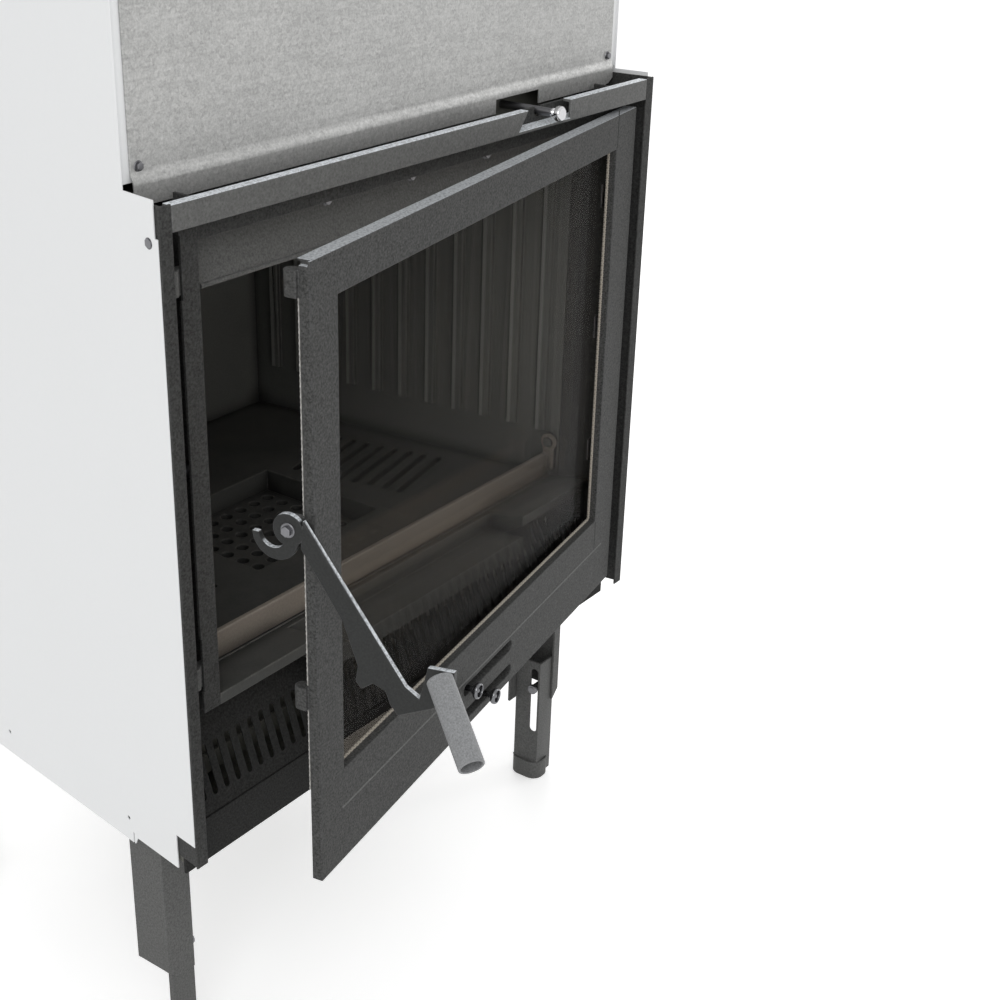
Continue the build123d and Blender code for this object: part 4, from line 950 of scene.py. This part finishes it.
class OBJECT_OT_insert_latch(InsertPiece, bpy.types.Operator):
    """Build the hooked lever, its grip and its pivot"""

    bl_idname = "object.insert_latch"
    bl_label = "Latch"

    def execute(self, context):
        edge = self.sizes().edge
        soften("handle_lever", edge * 1.4, segments=3, finish="lever_black")
        soften("handle_grip", edge * 1.6, segments=3)
        outside = pointing(DOOR, PIVOT_SCREW_X, PIVOT_Y, PIVOT_Z, (-1, 0, 0))
        inside = pointing(DOOR, PIVOT_STUD_X, PIVOT_Y, PIVOT_Z, (1, 0, 0))
        pivot = [
            hex_screw(outside, radius=4.6, head=3.0, washer=6.4),
            turned(PIVOT_PROFILE, inside),
        ]
        finish_piece("pivot_bolt_finished", to_mesh("pivot_bolt", join(pivot)), "door",
                     "dark_steel", ("pivot_bolt",))
        return {"FINISHED"}


class OBJECT_OT_insert_air(InsertPiece, bpy.types.Operator):
    """Build the air slides, their knobs and the damper's pull knob"""

    bl_idname = "object.insert_air"
    bl_label = "Air slides"

    def execute(self, context):
        edge = self.sizes().edge
        for node in ("upper_air_slide", "lower_air_slide"):
            soften(node, edge * 0.5, finish="anthracite_dim")
        for node in ("damper_shaft", "damper_rod"):
            soften(node, edge * 0.5)
        for name, (x, z) in KNOBS.items():
            node = name + "_slide_knob"
            head = turned(SLIDE_KNOB_PROFILE, pointing(DOOR, x, DOOR_FACE, z, (0, -1, 0)))
            finish_piece(node + "_finished", to_mesh(node, head), BODY_OF[node], "bright_chrome",
                         (node,), "dull_chrome")
        pull = turned(PULL_KNOB_PROFILE, pointing(INSERT, *PULL_KNOB, (0, -1, 0)))
        finish_piece("damper_knob_finished", to_mesh("damper_knob", pull), BODY_OF["damper_knob"],
                     "bright_chrome", ("damper_knob",))
        return {"FINISHED"}


class OBJECT_OT_insert_feet(InsertPiece, bpy.types.Operator):
    """Build the leg brackets, their bolts and the adjustable feet"""

    bl_idname = "object.insert_feet"
    bl_label = "Feet"

    def execute(self, context):
        edge = self.sizes().edge
        soften("leg_brackets", edge)
        soften("leg_bolts", edge)
        for corner in ("front_left", "front_right", "rear_left", "rear_right"):
            soften(f"leg_foot_{corner}", edge * 1.5, segments=3)
        return {"FINISHED"}


class OBJECT_OT_insert_studio(InsertPiece, bpy.types.Operator):
    """Set up the pale floor, the soft lights and the camera"""

    bl_idname = "object.insert_studio"
    bl_label = "Studio"

    def execute(self, context):
        scene = context.scene
        scene.view_settings.view_transform = "Standard"
        bm = bmesh.new()
        bmesh.ops.create_grid(bm, x_segments=2, y_segments=2, size=FLOOR_SIZE)
        floor = bpy.data.objects.new("studio_floor", to_mesh("studio_floor", bm))
        context.collection.objects.link(floor)
        tree, shader = start("studio_floor")
        shader.inputs["Base Color"].default_value = FLOOR_COLOR
        shader.inputs["Roughness"].default_value = 0.9
        shader.inputs["Specular IOR Level"].default_value = 0.1
        glow = tree.math("MULTIPLY", self.white_rays(tree), FLOOR_GLOW)
        tree.links.new(glow, shader.inputs["Emission Strength"])
        shader.inputs["Emission Color"].default_value = WHITE
        floor.data.materials.append(bpy.data.materials["studio_floor"])
        world = bpy.data.worlds.new("studio")
        world.use_nodes = True
        tree = Tree(world.node_tree)
        back = world.node_tree.nodes["Background"]
        back.inputs["Color"].default_value = WHITE
        glow = tree.math("MULTIPLY", self.white_rays(tree), WORLD_GLOW)
        tree.links.new(tree.math("ADD", glow, WORLD_LEVEL), back.inputs["Strength"])
        scene.world = world
        for lamp in LAMPS:
            self.lamp(*lamp)
        data = bpy.data.cameras.new("camera")
        data.lens, data.sensor_width = CAMERA_LENS, CAMERA_SENSOR
        data.clip_end = 100.0
        camera = bpy.data.objects.new("camera", data)
        context.collection.objects.link(camera)
        camera.location = CAMERA_PLACE
        camera.rotation_euler = CAMERA_TURN
        scene.camera = camera
        return {"FINISHED"}

    @staticmethod
    def white_rays(tree):
        """1 for the rays that should see a white studio: camera, glossy and transmission."""
        path = tree.add("LightPath")
        some = tree.math("MAXIMUM", path.outputs["Is Camera Ray"], path.outputs["Is Glossy Ray"])
        return tree.math("MAXIMUM", some, path.outputs["Is Transmission Ray"])

    @staticmethod
    def lamp(name, place, size, power):
        """A square soft lamp turned to the target."""
        data = bpy.data.lights.new(name, "AREA")
        data.shape, data.size, data.energy = "SQUARE", size, power
        lamp = bpy.data.objects.new(name, data)
        bpy.context.collection.objects.link(lamp)
        lamp.location = place
        way = Vector(LAMP_TARGET) - Vector(place)
        lamp.rotation_euler = way.to_track_quat("-Z", "Y").to_euler()


OPERATORS = (
    OBJECT_OT_insert_finishes,
    OBJECT_OT_insert_casing,
    OBJECT_OT_insert_front,
    OBJECT_OT_insert_firebox,
    OBJECT_OT_insert_door,
    OBJECT_OT_insert_latch,
    OBJECT_OT_insert_air,
    OBJECT_OT_insert_feet,
    OBJECT_OT_insert_studio,
)


class VIEW3D_PT_insert(bpy.types.Panel):
    """Settings and pieces of the fireplace insert"""

    bl_label = "Fireplace insert"
    bl_idname = "VIEW3D_PT_insert"
    bl_space_type = "VIEW_3D"
    bl_region_type = "UI"
    bl_category = "Insert"

    def draw(self, context):
        for settings in (context.scene.insert_colours, context.scene.insert_sizes):
            box = self.layout.box()
            for name in settings.__annotations__:
                box.prop(settings, name)
        for operator in OPERATORS:
            self.layout.operator(operator.bl_idname)


CLASSES = (InsertColours, InsertSizes, *OPERATORS, VIEW3D_PT_insert)


def register():
    for item in CLASSES:
        bpy.utils.register_class(item)
    bpy.types.Scene.insert_colours = bpy.props.PointerProperty(type=InsertColours)
    bpy.types.Scene.insert_sizes = bpy.props.PointerProperty(type=InsertSizes)


def unregister():
    del bpy.types.Scene.insert_sizes
    del bpy.types.Scene.insert_colours
    for item in reversed(CLASSES):
        bpy.utils.unregister_class(item)


def main():
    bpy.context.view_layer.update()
    register()
    for operator in OPERATORS:
        group_name, call = operator.bl_idname.split(".")
        getattr(getattr(bpy.ops, group_name), call)()


if __name__ == "__main__":
    main()
